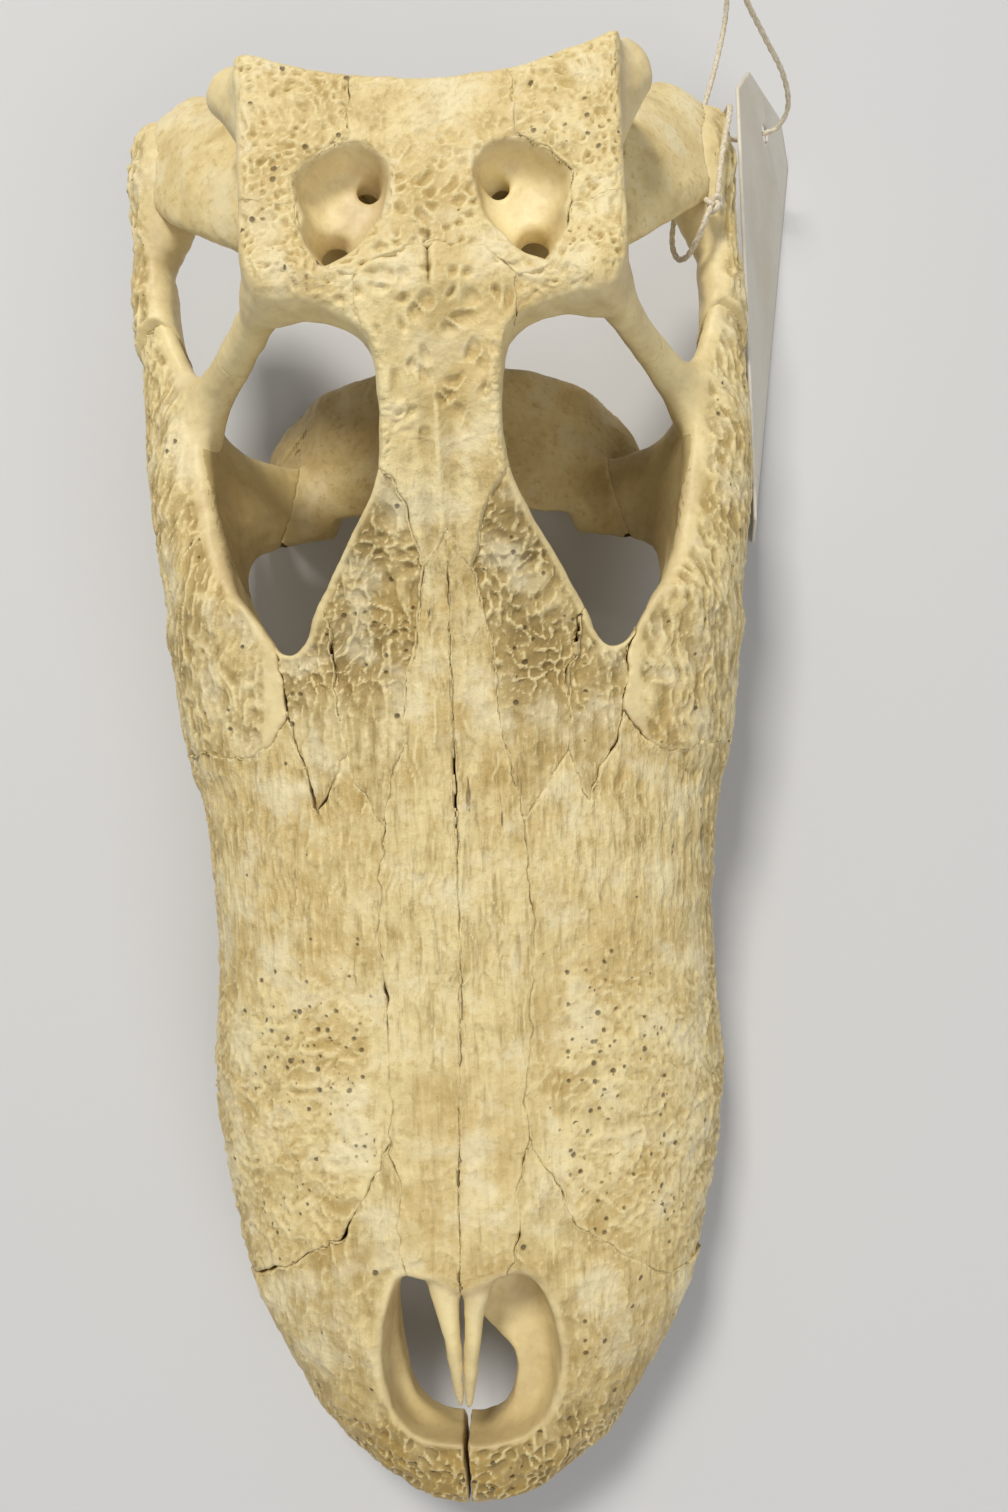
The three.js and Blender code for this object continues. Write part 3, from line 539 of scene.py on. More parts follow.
def loopDistance(x, y, loop):
    # signed distance in plan to a closed loop, negative inside, by the nearest of its straight sides
    x, y = np.broadcast_arrays(x, y)
    best = np.full(x.shape, 1e9)
    inside = np.zeros(x.shape, bool)
    for (ax, ay), (bx, by) in zip(loop, np.roll(loop, -1, 0)):
        ex, ey = bx - ax, by - ay
        t = np.clip(((x - ax) * ex + (y - ay) * ey) / (ex * ex + ey * ey + 1e-12), 0, 1)
        best = np.minimum(best, (x - ax - t * ex) ** 2 + (y - ay - t * ey) ** 2)
        if ay != by:
            inside ^= ((ay > y) != (by > y)) & (x < ax + ex * (y - ay) / (by - ay))
    return np.where(inside, -1, 1) * np.sqrt(best)


# Solids as fields: negative inside, about millimetres from the surface
def filletJoin(a, b, r):  # two solids run into one another with a fillet
    h = np.clip(0.5 + 0.5 * (b - a) / r, 0, 1)
    return b + (a - b) * h - r * h * (1 - h)


def softCut(a, b, r):  # what both solids share, with the edge rounded
    return -filletJoin(-a, -b, r)


openings = dict(
    orbit=[(32.5, 36), (23.5, 49.5), (13.6, 64), (11.8, 78), (14, 90), (24, 95), (38, 99), (54, 92), (52, 70),
           (43, 47)],
    naris=[(-2, -123.2), (4, -123.2), (10.3, -121.4), (15.6, -115.5), (17.5, -106), (15.5, -95), (11, -89.5),
           (6, -90), (-2, -93), (-9.5, -90), (-14.5, -89.5), (-17.5, -97), (-18.5, -106), (-17.8, -112.6),
           (-15.2, -118.6), (-10, -122.2)],
    incisive=[(-15.5, -93), (-16.3, -101), (-14.6, -112), (-11, -118.5), (-6, -121.8), (-1, -122.8), (3, -122.5),
              (7, -118.7), (8.5, -113.4), (8.2, -108.3), (4.9, -104.3), (1.5, -101), (-3, -93), (-9, -90)],
    suborbital=[(24, 20), (15, 34), (15, 56), (40, 56), (43, 42), (36, 26)],
    fenestra=[(15.3, 123), (8.2, 118.5), (10.4, 108.5), (20.5, 99.8), (22.6, 107), (25, 116.5)],
)
openings = {name: roundedLoop(points) for name, points in openings.items()}


def snoutSolid(x, y, z):
    # under a vault |x/half-width|^power + (rise/height)^2 = 1, over a palate with a rim of tooth sockets
    low, high, power = margin(y), crown(y), vaultPower(y)
    drop = np.clip((low - z) / (low - socket(y)), 0, 1.4)
    wide = halfWidth(y) * (1 - skull["tuck"] * drop ** 2)
    share, rise = np.abs(x) / wide, np.maximum(z - low, 0) / (high - low)
    steep = np.sqrt((power * share ** (power - 1) / wide) ** 2 + (2 * rise / (high - low)) ** 2) + 2e-3
    vault = (share ** power + rise ** 2 - 1) / steep
    edge = np.maximum(smooth(*skull["rim"], np.abs(x) / halfWidth(y)), smooth(*skull["lip"], y))
    floor = palate(y) + (socket(y) - palate(y)) * edge
    solid = softCut(softCut(vault, 0.85 * (floor - z), 2.0), y - skull["faceEnd"], 2.0)
    solid = softCut(solid, skull["tip"] + 0.5 - y, 1.5)
    side = np.abs(x)
    nose = loopDistance(x, y, openings["naris"]) + 0.1 * (crown(y) - 2 - z)
    rampEnd, slope = skull["noseRamp"]
    nose = softCut(nose, skull["noseFloor"] + slope * np.minimum(y - rampEnd, 0) - z, 5.0)
    under = softCut(loopDistance(side, y, openings["suborbital"]), z - skull["windowTop"], 2.0)
    for hole, r in ((nose, 1.6), (loopDistance(x, y, openings["incisive"]), 1.2),
                    (loopDistance(side, y, openings["orbit"]), 2.0), (under, 2.0)):
        solid = softCut(solid, -hole, r)
    return solid


roof = dict(
    half=[(30, 30), (40, 29), (49.5, 23.5), (64, 13.6), (76, 11.8), (86, 12.5), (90, 15), (92.5, 20), (94.3, 27),
          (96, 31.5), (99, 34.6), (104, 35.8), (123, 36), (142, 36.8)],
    thick=[(30, 9), (60, 9), (90, 8.5), (104, 10.5), (142, 13)],
    backEdge=136.5, backRadius=146.0, flare=(1.1, 1.38), rim=1.6, bowlSlope=0.3, bowlDepth=7.0,
    rearHole=(10.4, 118.2, 2.2), rearLean=0.25, frontHole=(19.0, 106.4, 3.5), frontSlope=0.28,
)  # half-width and thickness of the brow bridge and table, the hollow curve behind, and each window's two holes
roofHalf, roofThick = profile(roof["half"]), profile(roof["thick"])


def roofTop(x, y):
    # the vault's height, easing to a nearly flat sheet with raised rims behind the orbits' front
    share = np.clip(np.abs(x) / roofHalf(y), 0, 1)
    out = np.clip(np.abs(x) / halfWidth(y), 0, 1)
    vault = margin(y) + (crown(y) - margin(y)) * np.sqrt(1 - out ** vaultPower(y))
    flat = smooth(47, 66, y)
    return vault + (crown(y) - vault) * flat + roof["rim"] * flat * share ** 2


def roofSolid(x, y, z):
    # between the top sheet and one a thickness below, inside the half-width, cut by an arc and two funnels
    top = roofTop(x, y)
    edge = (np.abs(x) - roofHalf(y)) / np.sqrt(1 + (roofHalf(y + 0.5) - roofHalf(y - 0.5)) ** 2)
    flared = x * np.where(x < 0, *roof["flare"])
    back = roof["backRadius"] - np.hypot(flared, y - roof["backEdge"] - roof["backRadius"])
    side, depth = np.abs(x), top - z
    bowl = loopDistance(side, y, openings["fenestra"]) + roof["bowlSlope"] * np.maximum(depth - 1, 0)
    bowl = softCut(bowl, depth - roof["bowlDepth"], 3.5)
    hx, hy, r = roof["rearHole"]
    rear = np.hypot(side - hx - roof["rearLean"] * depth, y - hy) - r
    hx, hy, r = roof["frontHole"]
    front = np.hypot(side - hx, y - hy) - r + roof["frontSlope"] * (depth - roof["bowlDepth"])
    solid = softCut(softCut(z - top, top - roofThick(y) - z, 1.0), edge, 3.0)
    for limit, r in ((30 - y, 1.0), (back, 2.2), (-bowl, 1.6), (-rear, 1.2), (-front, 1.2)):
        solid = softCut(solid, limit, r)
    return solid


cheek = dict(
    rimX=[(14, 40), (30, 38), (40, 39), (47, 43), (60, 47.5), (78, 51), (92, 53), (104, 56.5), (114, 60.5),
          (126, 62)],
    rimZ=[(14, 53), (30, 60), (47, 63.5), (60, 61), (78, 59.5), (92, 58), (104, 56.5), (126, 57)],
    foot=[(14, 34), (47, 36), (78, 40), (104, 44), (126, 46)],
    front=15.0, back=126.0,
)  # upper rim, its height and the lower inner edge of the jugal
rimX, rimZ, cheekFoot = profile(cheek["rimX"]), profile(cheek["rimZ"]), profile(cheek["foot"])


def cheekSolid(x, y, z):
    # a quarter ellipse from the margin up to the rim, with a steep inner wall and a sloping lower edge
    side, low, inner = np.abs(x), margin(y), rimX(y) + 1.5
    out, tall = halfWidth(y) - inner, rimZ(y) - low
    u, v = np.maximum(side - inner, 0) / out, np.maximum(z - low, 0) / tall
    steep = 2 * np.sqrt((u / out) ** 2 + (v / tall) ** 2) + 2e-3
    face = (u ** 2 + v ** 2 - 1) / steep
    across = np.clip((side - inner - 2) / np.maximum(out - 5, 1), 0, 1)
    foot = cheekFoot(y) + (low - 4.5 - cheekFoot(y)) * across
    solid = softCut(face, rimX(y) - side, 3.0)
    solid = softCut(solid, 0.9 * (foot - z), 3.0)
    return softCut(softCut(solid, cheek["front"] - y, 3.0), y - cheek["back"], 1.0)


def strutSolid(x, y, z, stations, across, steps=4):
    # an oval carried along a smooth line through stations (x, y, z, width, thickness), width lying along across
    line = throughPoints(stations, steps)
    best = np.full(np.broadcast_shapes(x.shape, y.shape, z.shape), 99.0)
    for p, q in zip(line[:-1], line[1:]):
        reach = max(*p[3:], *q[3:]) / 2 + 7
        near = []
        for axis, low, high in zip((x, y, z), np.minimum(p, q), np.maximum(p, q)):
            hit = np.flatnonzero((axis.ravel() > low - reach) & (axis.ravel() < high + reach))
            near.append(slice(hit[0], hit[-1] + 1) if len(hit) else slice(0, 0))
        part = best[tuple(near)]
        if not part.size:
            continue
        run = q[:3] - p[:3]
        long = np.linalg.norm(run)
        run = run / long
        thin = np.cross(across, run)
        thin /= np.linalg.norm(thin)
        broad = np.cross(run, thin)
        dx, dy, dz = x[near[0]] - p[0], y[:, near[1]] - p[1], z[:, :, near[2]] - p[2]
        far = dx * run[0] + dy * run[1] + dz * run[2]
        t = np.clip(far / long, 0, 1)
        beyond = far - t * long
        wide = (p[3] + (q[3] - p[3]) * t) / 2
        thick = (p[4] + (q[4] - p[4]) * t) / 2
        u = dx * broad[0] + dy * broad[1] + dz * broad[2]
        v = dx * thin[0] + dy * thin[1] + dz * thin[2]
        oval = np.sqrt((u / wide) ** 2 + (v / thick) ** 2 + (beyond / thick) ** 2) + 1e-6
        slope = np.sqrt((u / wide ** 2) ** 2 + (v / thick ** 2) ** 2 + (beyond / thick ** 2) ** 2) / oval + 1e-3
        np.minimum(part, (oval - 1) / slope, out=part)
    return best


print("fields ready")


# Skins: bones run into one another and are pierced by windows, so one grid over two parameters
# can't cover them; each is skinned where its field is nought, a quad for every crossed edge of a lattice
def skin(field, origin, h):
    f = np.where(np.abs(field) < 1e-6, 1e-6, field)
    inside = f < 0
    corner = np.array([(i, j, k) for i in (0, 1) for j in (0, 1) for k in (0, 1)])
    count = sum(inside[i:f.shape[0] - 1 + i, j:f.shape[1] - 1 + j, k:f.shape[2] - 1 + k].astype(np.int8)
                for i, j, k in corner)
    cell = np.argwhere((count > 0) & (count < 8))
    index = np.full(count.shape, -1, np.int64)
    index[tuple(cell.T)] = np.arange(len(cell))
    value = np.stack([f[tuple((cell + c).T)] for c in corner], 1)
    total, hits = np.zeros((len(cell), 3)), np.zeros(len(cell))
    for a in range(8):
        for b in range(a + 1, 8):
            if np.abs(corner[a] - corner[b]).sum() == 1:
                crossed = (value[:, a] < 0) != (value[:, b] < 0)
                t = np.where(crossed, value[:, a] / np.where(crossed, value[:, a] - value[:, b], 1), 0)
                total += crossed[:, None] * (corner[a] + t[:, None] * (corner[b] - corner[a]))
                hits += crossed
    points = np.array(origin) + h * (cell + total / hits[:, None])
    quads = []
    for axis in range(3):
        lower = [slice(None)] * 3
        upper = [slice(None)] * 3
        lower[axis], upper[axis] = slice(0, -1), slice(1, None)
        a, b = inside[tuple(lower)], inside[tuple(upper)]
        edge = np.argwhere(a != b)
        u, v = [k for k in range(3) if k != axis]
        last = np.array(f.shape) - 1
        edge = edge[((edge > 0) & (edge < last))[:, [u, v]].all(1)]
        ring = []
        for du, dv in ((1, 1), (0, 1), (0, 0), (1, 0)):
            c = edge.copy()
            c[:, u] -= du
            c[:, v] -= dv
            ring.append(index[tuple(c.T)])
        quad = np.stack(ring, 1)
        flip = a[tuple(edge.T)] == (axis == 1)
        quad[flip] = quad[flip][:, ::-1]
        quads.append(quad)
    return points, np.vstack(quads)


def largestPart(points, quads):  # keeps the biggest connected patch by spreading the lowest label along edges
    label = np.arange(len(points))
    while True:
        lowest = label[quads].min(1)
        fresh = label.copy()
        np.minimum.at(fresh, quads.ravel(), np.repeat(lowest, 4))
        fresh = fresh[fresh]
        if (fresh == label).all():
            break
        label = fresh
    names, size = np.unique(label, return_counts=True)
    keep = label == names[size.argmax()]
    number = np.cumsum(keep) - 1
    return points[keep], number[quads[keep[quads[:, 0]]]]


def neighbours(quads):  # both ends of every edge, each way round, and how often each vertex comes
    a, b = quads.ravel(), np.roll(quads, -1, 1).ravel()
    both, other = np.concatenate([a, b]), np.concatenate([b, a])
    return both, other, np.bincount(both)


def relaxed(points, quads, rounds=2, share=0.5):
    # each vertex eased toward the middle of those it shares an edge with, then nearly as far back, to keep its size
    both, other, count = neighbours(quads)
    for amount in (share, -share * 0.9) * rounds:
        middle = np.stack([np.bincount(both, points[other, k]) for k in range(3)], 1) / count[:, None]
        points = points + amount * (middle - points)
    return points


def normalsOf(points, quads):  # the summed crossed diagonals of the quads round each vertex
    p = points[quads]
    face = np.cross(p[:, 2] - p[:, 0], p[:, 3] - p[:, 1])
    n = np.stack([np.bincount(quads.ravel(), np.repeat(face[:, k], 4), len(points)) for k in range(3)], 1)
    return n / (np.linalg.norm(n, axis=1)[:, None] + 1e-12)


def spread(quads, value, rounds):  # a vertex value softened along the surface
    both, other, count = neighbours(quads)
    for turn in range(rounds):
        value = 0.5 * value + 0.5 * np.bincount(both, value[other]) / count
    return value


# How the bones part: plan outlines of the left side, sutures wandering by soft noise
sutures = dict(
    gap=-0.45, wander=1.1, wanderSize=9.0, zigzag=0.6, zigzagSize=2.4, edge=0.25, nasalFloor=(55, 0.21),
    prefrontalFloor=(46, 0.34), lacrimalFloor=(42, 0.34),
)  # millimetres; a gap below nought laps the bones, so that seams show as grooves; floors are height and slope


def mirrored(half):  # an outline's left half and, going back, its mirror image
    return half + [(-x, y) for x, y in reversed(half) if x]


plans = dict(
    premaxilla=[(0, -150), (90, -150), (90, -88), (56, -90), (44, -92), (33, -86), (24, -80), (13.8, -63),
                (0, -63)],
    maxilla=[(90, 25), (90, -88), (56, -90), (44, -92), (33, -86), (24, -80), (13.8, -63), (0, -63), (0, 47.2),
             (36, 47.2), (36, 31), (34.5, 24), (38, 18.5), (46, 16), (58, 19), (74, 23)],
    nasal=[(0, -112), (6, -112), (8, -97), (10.5, -91), (13.8, -63), (15.6, -20), (14, 0), (8.5, 30), (4.5, 50),
           (0, 57)],
    prefrontal=[(14, 0), (8.5, 30), (4.5, 50), (8, 60), (14, 68), (31, 60), (27, 48), (24, 30), (22.5, 15)],
    lacrimal=[(28, 4), (22.5, 15), (24, 30), (27, 48), (38, 46), (37, 36), (34.5, 24)],
    jugal=[(90, 25), (74, 23), (58, 19), (46, 16), (38, 18.5), (34.5, 24), (37, 36), (38, 46), (32, 58), (32, 140),
           (90, 140)],
    frontal=mirrored([(0, 57), (4.5, 50), (8, 60), (14, 68), (23, 70), (23, 84), (14.5, 86), (15.5, 98),
                      (9, 102.5), (0, 104)]),
    parietal=mirrored([(0, 104), (9, 102.5), (15.5, 98), (21, 99.3), (24, 106), (26, 116.5), (20, 122),
                       (15.6, 124.5), (14.5, 146)]),
    postorbital=[(15.5, 98), (14.5, 86), (23, 84), (48, 84), (70, 112.6), (41, 112.5), (25, 111), (24, 106),
                 (21, 99.3)],
    squamosal=[(25, 111), (41, 112.5), (70, 112.6), (70, 156), (14.5, 146), (15.6, 124.5), (20, 122), (26, 116.5)],
)
plans = {name: np.array(points, float) for name, points in plans.items()}


def bendAt(y):  # the nose turns a little to the right
    return 2.1 * smooth(5, -95, y)


def wandered(x, y):  # plan position shifted by slow and quick noise, so straight outlines become sutures
    w, z = sutures["wanderSize"], sutures["zigzagSize"]
    x, y = np.broadcast_arrays(x, y)
    fade = smooth(2, 9, np.abs(x)) * 0.75 + 0.25
    dx = sutures["wander"] * softNoise(x / w, y / w, 3) + sutures["zigzag"] * softNoise(x / z, y / z, 5)
    dy = sutures["wander"] * softNoise(x / w, y / w, 7) + sutures["zigzag"] * softNoise(x / z, y / z, 9)
    return x + bendAt(y) + fade * dx, y + dy


struts = dict(
    bar=([(29, 99, 96, 9, 8), (33.5, 99.5, 88, 8.5, 7.5), (39.5, 98.5, 77, 8, 7), (46.5, 96.5, 66, 8.5, 7.5),
          (55, 94, 53, 12, 9)], (0, 1, 0)),
    pillar=([(17, 50, 68, 11, 8), (14.5, 52, 56, 8, 6), (9, 56, 40.2, 7, 6)], (0, 1, 0)),
    occiput=([(-34, 136, 81, 8, 13), (-24, 133, 80, 9, 18), (0, 131, 78, 10, 22), (24, 133, 80, 9, 18),
              (34, 136, 81, 8, 13)], (0, 1, 0)),
    braincase=([(0, 88, 74, 12, 14), (0, 98, 71.5, 18, 30), (0, 110, 70, 24, 38), (0, 124, 70, 30, 42),
                (0, 133, 70, 34, 40)], (1, 0, 0)),
    quadrate=([(21, 122, 77, 20, 12), (34, 131, 76.5, 27, 11), (47, 142, 70.5, 29, 10), (56, 151.5, 62.5, 28, 10),
               (60.5, 159.5, 57, 25, 11), (61.5, 164.5, 54.8, 21, 8)], (1, -1.3, -0.4)),
    quadratojugal=([(64.5, 104, 50, 11, 13), (66.3, 118, 51.5, 8.5, 12), (66.2, 130, 53, 9.5, 12),
                    (63.8, 140, 56, 15, 11), (62.5, 150, 58.5, 18, 10.5), (66, 161, 55.5, 11, 9)], (1, 0, 0)),
    basioccipital=([(0, 134, 64, 20, 14), (0, 131, 54, 30, 9), (0, 127, 42, 28, 8), (0, 124, 34, 20, 6)],
                   (1, 0, 0)),
    spike=([(4.1, -87, 42, 7.6, 6.5), (2.2, -100, 42, 3.8, 4.4), (1.5, -108, 40.2, 2.5, 3),
            (0.9, -115.3, 38, 1.0, 1.3)], (1, 0, 0)),
    prongLeft=([(29, 133, 92.8, 16, 11.5), (35, 140, 92.8, 16, 11.5), (39.8, 144.8, 91.6, 14, 10.5)], (1, 0, 0)),
    prongRight=([(30, 132.5, 92.6, 13, 10.5), (35.4, 138.6, 92.6, 13, 10.5), (39, 142.2, 91.2, 11.5, 9.5)],
                (1, 0, 0)),
    wing=([(3.5, 97, 38, 32, 7), (18, 96, 33.5, 36, 6), (31, 96.5, 27, 33, 5.5), (41, 98.5, 17.5, 27, 5.5),
           (46.5, 99.5, 8, 19, 6), (48, 100, 0.5, 13, 6)], (0, 1, 0)),
    stalk=([(0, 112, 36, 18, 12), (0, 114, 44, 17, 13), (0, 117, 56, 20, 16)], (1, 0, 0)),
    ectopterygoid=([(58, 76, 50, 30, 8), (50, 79, 40, 25, 7), (41, 82.5, 29.5, 20, 6), (32, 84, 26, 17, 5)],
                   (0, 1, 0)),
    wingTip=([(47, 84, 30, 9, 7), (50.5, 92, 20, 8, 6), (51.5, 97, 10, 6, 5)], (0, 1, 0)),
    palatine=([(0, 47.35, 34.5, 22, 9), (0, 56, 35.2, 19, 9), (0, 66, 36, 18, 9), (0, 88, 37.5, 24, 8)], (1, 0, 0)),
)  # stations (x, y, z, width, thickness) and the way the width lies
joints = dict(bar=7.0, snout=4.0, cheek=4.0)  # fillet where each outer solid runs into those before it


def strut(name, x, y, z):
    stations, across = struts[name]
    return strutSolid(x, y, z, stations, across)


def shell(x, y, z, parts):  # the outer solids that bones are parted from, joined with fillets
    total = None
    for name in parts:
        solid = dict(snout=snoutSolid, roof=roofSolid, cheek=cheekSolid).get(name)
        solid = solid(x, y, z) if solid else strut(name, np.abs(x), y, z)
        if total is None:
            total = solid
        else:
            total = filletJoin(total, solid, joints[name]) if name in joints else np.minimum(total, solid)
    return total


def cup(name, x, y, z):  # an outlined bone let into the snout down to its sloping floor
    high, slope = sutures[name + "Floor"]
    return np.maximum(loopDistance(x, y, plans[name]), high + slope * y - z)


def barPlane(x, z):  # above or below the suture across the postorbital bar
    return -0.54 * (np.abs(x) - 43) + 0.84 * (z - 71.55)


def cheekPlane(y, z):  # in front of or behind the slanted suture at the back of the jugal
    return (y - 114.15) * math.cos(0.5) - (z - 55) * math.sin(0.5)


print("bone outlines ready")


# Surface sculpture: depth of pits and grooves in millimetres, by pattern position along and across
def dimpled(u, v, size, seed, keep=1.0, wide=0.42):
    # round bowls of differing width, each about one jittered point, with broad rounded walls between
    near, second, number = cells(u / size, v / size, seed)
    reach = wide * (0.65 + 0.7 * number / keep)
    return smooth(1.0, 0.25, near / reach) * smooth(0.0, 0.16, second - near) * (number < keep)


def streaked(u, v, wide, long, seed):  # ridges drawn out along the skull
    return 0.5 + 0.5 * layered(u / wide + 0.8 * softNoise(u / 9, v / 21, seed + 4), v / long, seed)


def wormed(u, v, size, seed):  # winding ridges: the near-zero bands of soft noise
    return smooth(0.0, 0.42, np.abs(layered(u / size, v / size, seed, 2)))


def rugose(u, v, size, seed):  # winding ridges at three sizes
    layers = ((0.5, 1.0, 0), (0.3, 0.55, 3), (0.2, 0.32, 6))  # height, share of the size, step of the seed
    return sum(high * wormed(u, v, size * share, seed + step) for high, share, step in layers)


def midCrack(x, y):  # a crack along the middle where frontal and parietal meet, wandering a little
    wander = 0.5 * softNoise(y / 3, y / 7, 51)
    return np.exp(-((x + 1.0 + wander) / 0.36) ** 2) * smooth(95, 98, y) * smooth(108.5, 104, y)


# Each relief gives the depth sunk, how streaked the surface is, how thick with pores, and how much its hollows are
# darkened with tan, as dirt and as painted shade.
def frontalRelief(x, y, s, bend, along):
    # pits at the back, a trough on each side of a low middle ridge, streaks in front and rough raised rims
    middle, crack = x + 0.6, midCrack(x, y)
    wave = 0.8 * softNoise(s / 4, y / 6, 14)
    trough = np.exp(-((np.abs(middle + 0.4 * wave) - 2.4) / 1.5) ** 2)
    trough = trough * smooth(82, 70, y) * smooth(44, 54, y) * (0.75 + 0.4 * wave)
    ridge = np.exp(-((middle + 0.3 * wave) / 0.7) ** 2) * smooth(82, 74, y)
    rim = smooth(4.2, 1.2, roofHalf(y) - np.abs(x) + wave) * smooth(94, 86, y)
    depth = 0.85 * dimpled(bend, along, 4.2, 11, 0.85) * smooth(66, 80, y) * (1 - rim)
    depth += 0.22 * rugose(bend, along, 2.6, 17)
    depth += trough - 0.5 * ridge - 0.6 * rim + 0.5 * smooth(78, 62, y) * streaked(s, y, 1.4, 9, 12)
    depth += 0.7 * rim * rugose(bend, along * 1.6, 2.8, 13) + 1.1 * crack
    return depth, 0.7 * smooth(74, 62, y), 0.0, 0.5 * trough + 0.2 * smooth(80, 60, y) + crack


def parietalRelief(x, y, s, bend, along):  # round pits, shallower behind, over fine winding ridges
    crack = midCrack(x, y)
    depth = 0.7 * dimpled(bend, along, 3.3, 15, 0.9) * (0.35 + 0.65 * smooth(128, 114, y))
    return depth + 0.35 * rugose(bend, along, 2.0, 16) + 1.1 * crack, 0.0, 0.04, crack


def tableRelief(x, y, s, bend, along):  # winding ridges turned a little, with small and a few large pits
    depth = 0.55 * rugose(bend * 0.85 + along * 0.3, along - 0.3 * bend, 2.3, 19)
    depth += 0.42 * dimpled(bend, along, 2.3, 20, 0.75, 0.4) + 0.3 * dimpled(bend, along, 4.4, 21, 0.3)
    return depth, 0.0, 0.2, 0.0


def prefrontalRelief(x, y, s, bend, along):  # streaks, and a rough pitted stretch beside the eye socket
    rough = smooth(14, 34, y) * smooth(68, 58, y)
    pitted = 0.55 * dimpled(bend, along, 3.6, 23, 0.75, 0.5) + 0.8 * rugose(bend, along, 3.4, 22)
    depth = 0.6 * streaked(s, y, 1.5, 9, 24) + rough * pitted
    depth += (1 - rough) * 0.4 * rugose(bend, along * 0.35, 2.4, 26)
    # how much its hollows are darkened with tan, as dirt and as painted shade, more where rough
    dirtshade = 0.45 + 0.6 * rough * smooth(-0.4, 0.4, layered(x / 9, y / 9, 25))
    return depth, 1 - 0.6 * rough, 0.2 * rough, dirtshade


def nasalRelief(x, y, s, bend, along):  # long streaks behind, going over to broad low lumps in front
    front = smooth(-30, -75, y)
    depth = 0.35 * streaked(s, y, 1.3, 14, 27) + (1 - front) * 0.5 * rugose(bend, along * 0.2, 2.2, 29)
    return depth + front * 0.45 * rugose(bend, along, 5.5, 28), 1 - 0.55 * front, 0.0, 0.0


def maxillaRelief(x, y, s, bend, along):  # streaks, a porous lumpy swelling, flutes at the margin and pits behind
    hump = smooth(-100, -80, y) * smooth(-14, -40, y) * smooth(15, 24, np.abs(s))
    flutes = smooth(44, 52, np.abs(x) * 52 / halfWidth(y))
    streaks = 0.35 * streaked(s, y, 1.3, 14, 30) + 0.5 * rugose(bend, along * 0.22, 2.3, 39)
    depth = (1 - hump) * streaks + hump * 0.8 * rugose(bend * 0.6, along, 3.0, 33)
    depth += 0.6 * flutes * rugose(along * 1.2, s * 0.7, 3.6, 36)
    depth += smooth(-14, 16, y) * 0.5 * dimpled(bend, along * 0.7, 4.2, 35, 0.5)
    pores = 0.9 * hump * smooth(58, 46, np.abs(s)) * smooth(-0.5, 0.25, layered(x / 9, y / 9, 48)) + 0.02
    return depth, 1 - 0.7 * hump, pores, 0.0


def jugalRelief(x, y, s, bend, along):  # winding ridges drawn out along the cheek, with shallow pits
    depth = 0.35 * dimpled(bend, along * 0.62, 3.4, 41, 0.6, 0.46) + 0.85 * rugose(bend, along * 0.6, 3.6, 42)
    return depth, 0.0, 0.08, 0.5


def premaxillaRelief(x, y, s, bend, along):  # streaked lumps, going over to pits at the tip
    tip = smooth(-110, -126, y)
    depth = (1 - tip) * 0.3 * streaked(s, y, 1.6, 9, 45) + 0.5 * rugose(bend, along * 0.8, 4.2, 47)
    depth += 0.5 * layered(bend / 8, along / 8, 49) + tip * 0.6 * dimpled(bend, along, 3.0, 46, 0.85)
    return depth, 0.7 - 0.7 * tip, 0.06 + 0.2 * tip, 0.3 + 0.6 * tip


reliefs = dict(
    frontal=frontalRelief, parietal=parietalRelief, table=tableRelief, prefrontal=prefrontalRelief,
    nasal=nasalRelief, maxilla=maxillaRelief, jugal=jugalRelief, premaxilla=premaxillaRelief,
)


def sculpture(style, p):
    # the style's relief, its pattern laid along the skull and across its unrolled slope, both warped by noise
    if style not in reliefs:
        return 0.0, 0.0, 0.0, 0.0
    x, y, z = p.T
    s = x + np.sign(x) * 0.75 * np.maximum(crown(y) - z, 0)
    bend, along = (way + 1.9 * softNoise(s / 7, y / 7, seed) + 0.5 * softNoise(s / 2.5, y / 2.5, seed + 1)
                   for way, seed in ((s, 31), (y, 37)))
    return reliefs[style](x, y, s, bend, along)


def uneven(p):  # the slow swell and dip that no bone is without
    x, y, z = p.T
    return 0.42 * layered(x / 8 + z / 13, y / 9 + z / 11, 53) + 0.14 * layered(x / 3 + z / 4, y / 3.4, 57)


def outerMask(style, p, n):
    # one on the outward faces that carry sculpture, nought on inner walls and undersides
    x, y, z = p.T
    if style in ("frontal", "parietal", "table"):
        level = roofTop(x, y) - z
        return smooth(0.45, 0.85, n[:, 2]) * smooth(3.0, 1.2, level)
    side = np.sign(x) * np.clip(np.abs(x) / halfWidth(y), 0.2, 1)
    out = (n[:, 0] * side + 0.8 * n[:, 2]) / np.hypot(side, 0.8)
    mask = smooth(0.2, 0.6, out)
    if style == "jugal":
        back = smooth(36, 66, y)
        mask *= smooth(0.0, 1.0 + 2.5 * back, np.abs(x) - rimX(y) - 0.2 - 2.0 * back)
    if style in ("premaxilla", "nasal"):
        mask *= smooth(0.3, 2.2, loopDistance(x, y, openings["naris"]))
    if style in ("prefrontal", "maxilla"):
        mask *= smooth(0.4, 1.8, loopDistance(np.abs(x), y, openings["orbit"]))
    return mask


def stainAt(p):  # ochre gathers at the snout's tip and in a few patches along the bones
    x, y = p.T[:2]
    tip = smooth(-98, -132, y)
    patch = smooth(0.25, 0.8, layered(x / 16, y / 20, 61))
    return np.clip(0.9 * tip + 0.35 * patch, 0, 1)


lean = dict(by=4.5, along=(75, 150), across=(30, 58))  # the left cheek stands further in towards the back


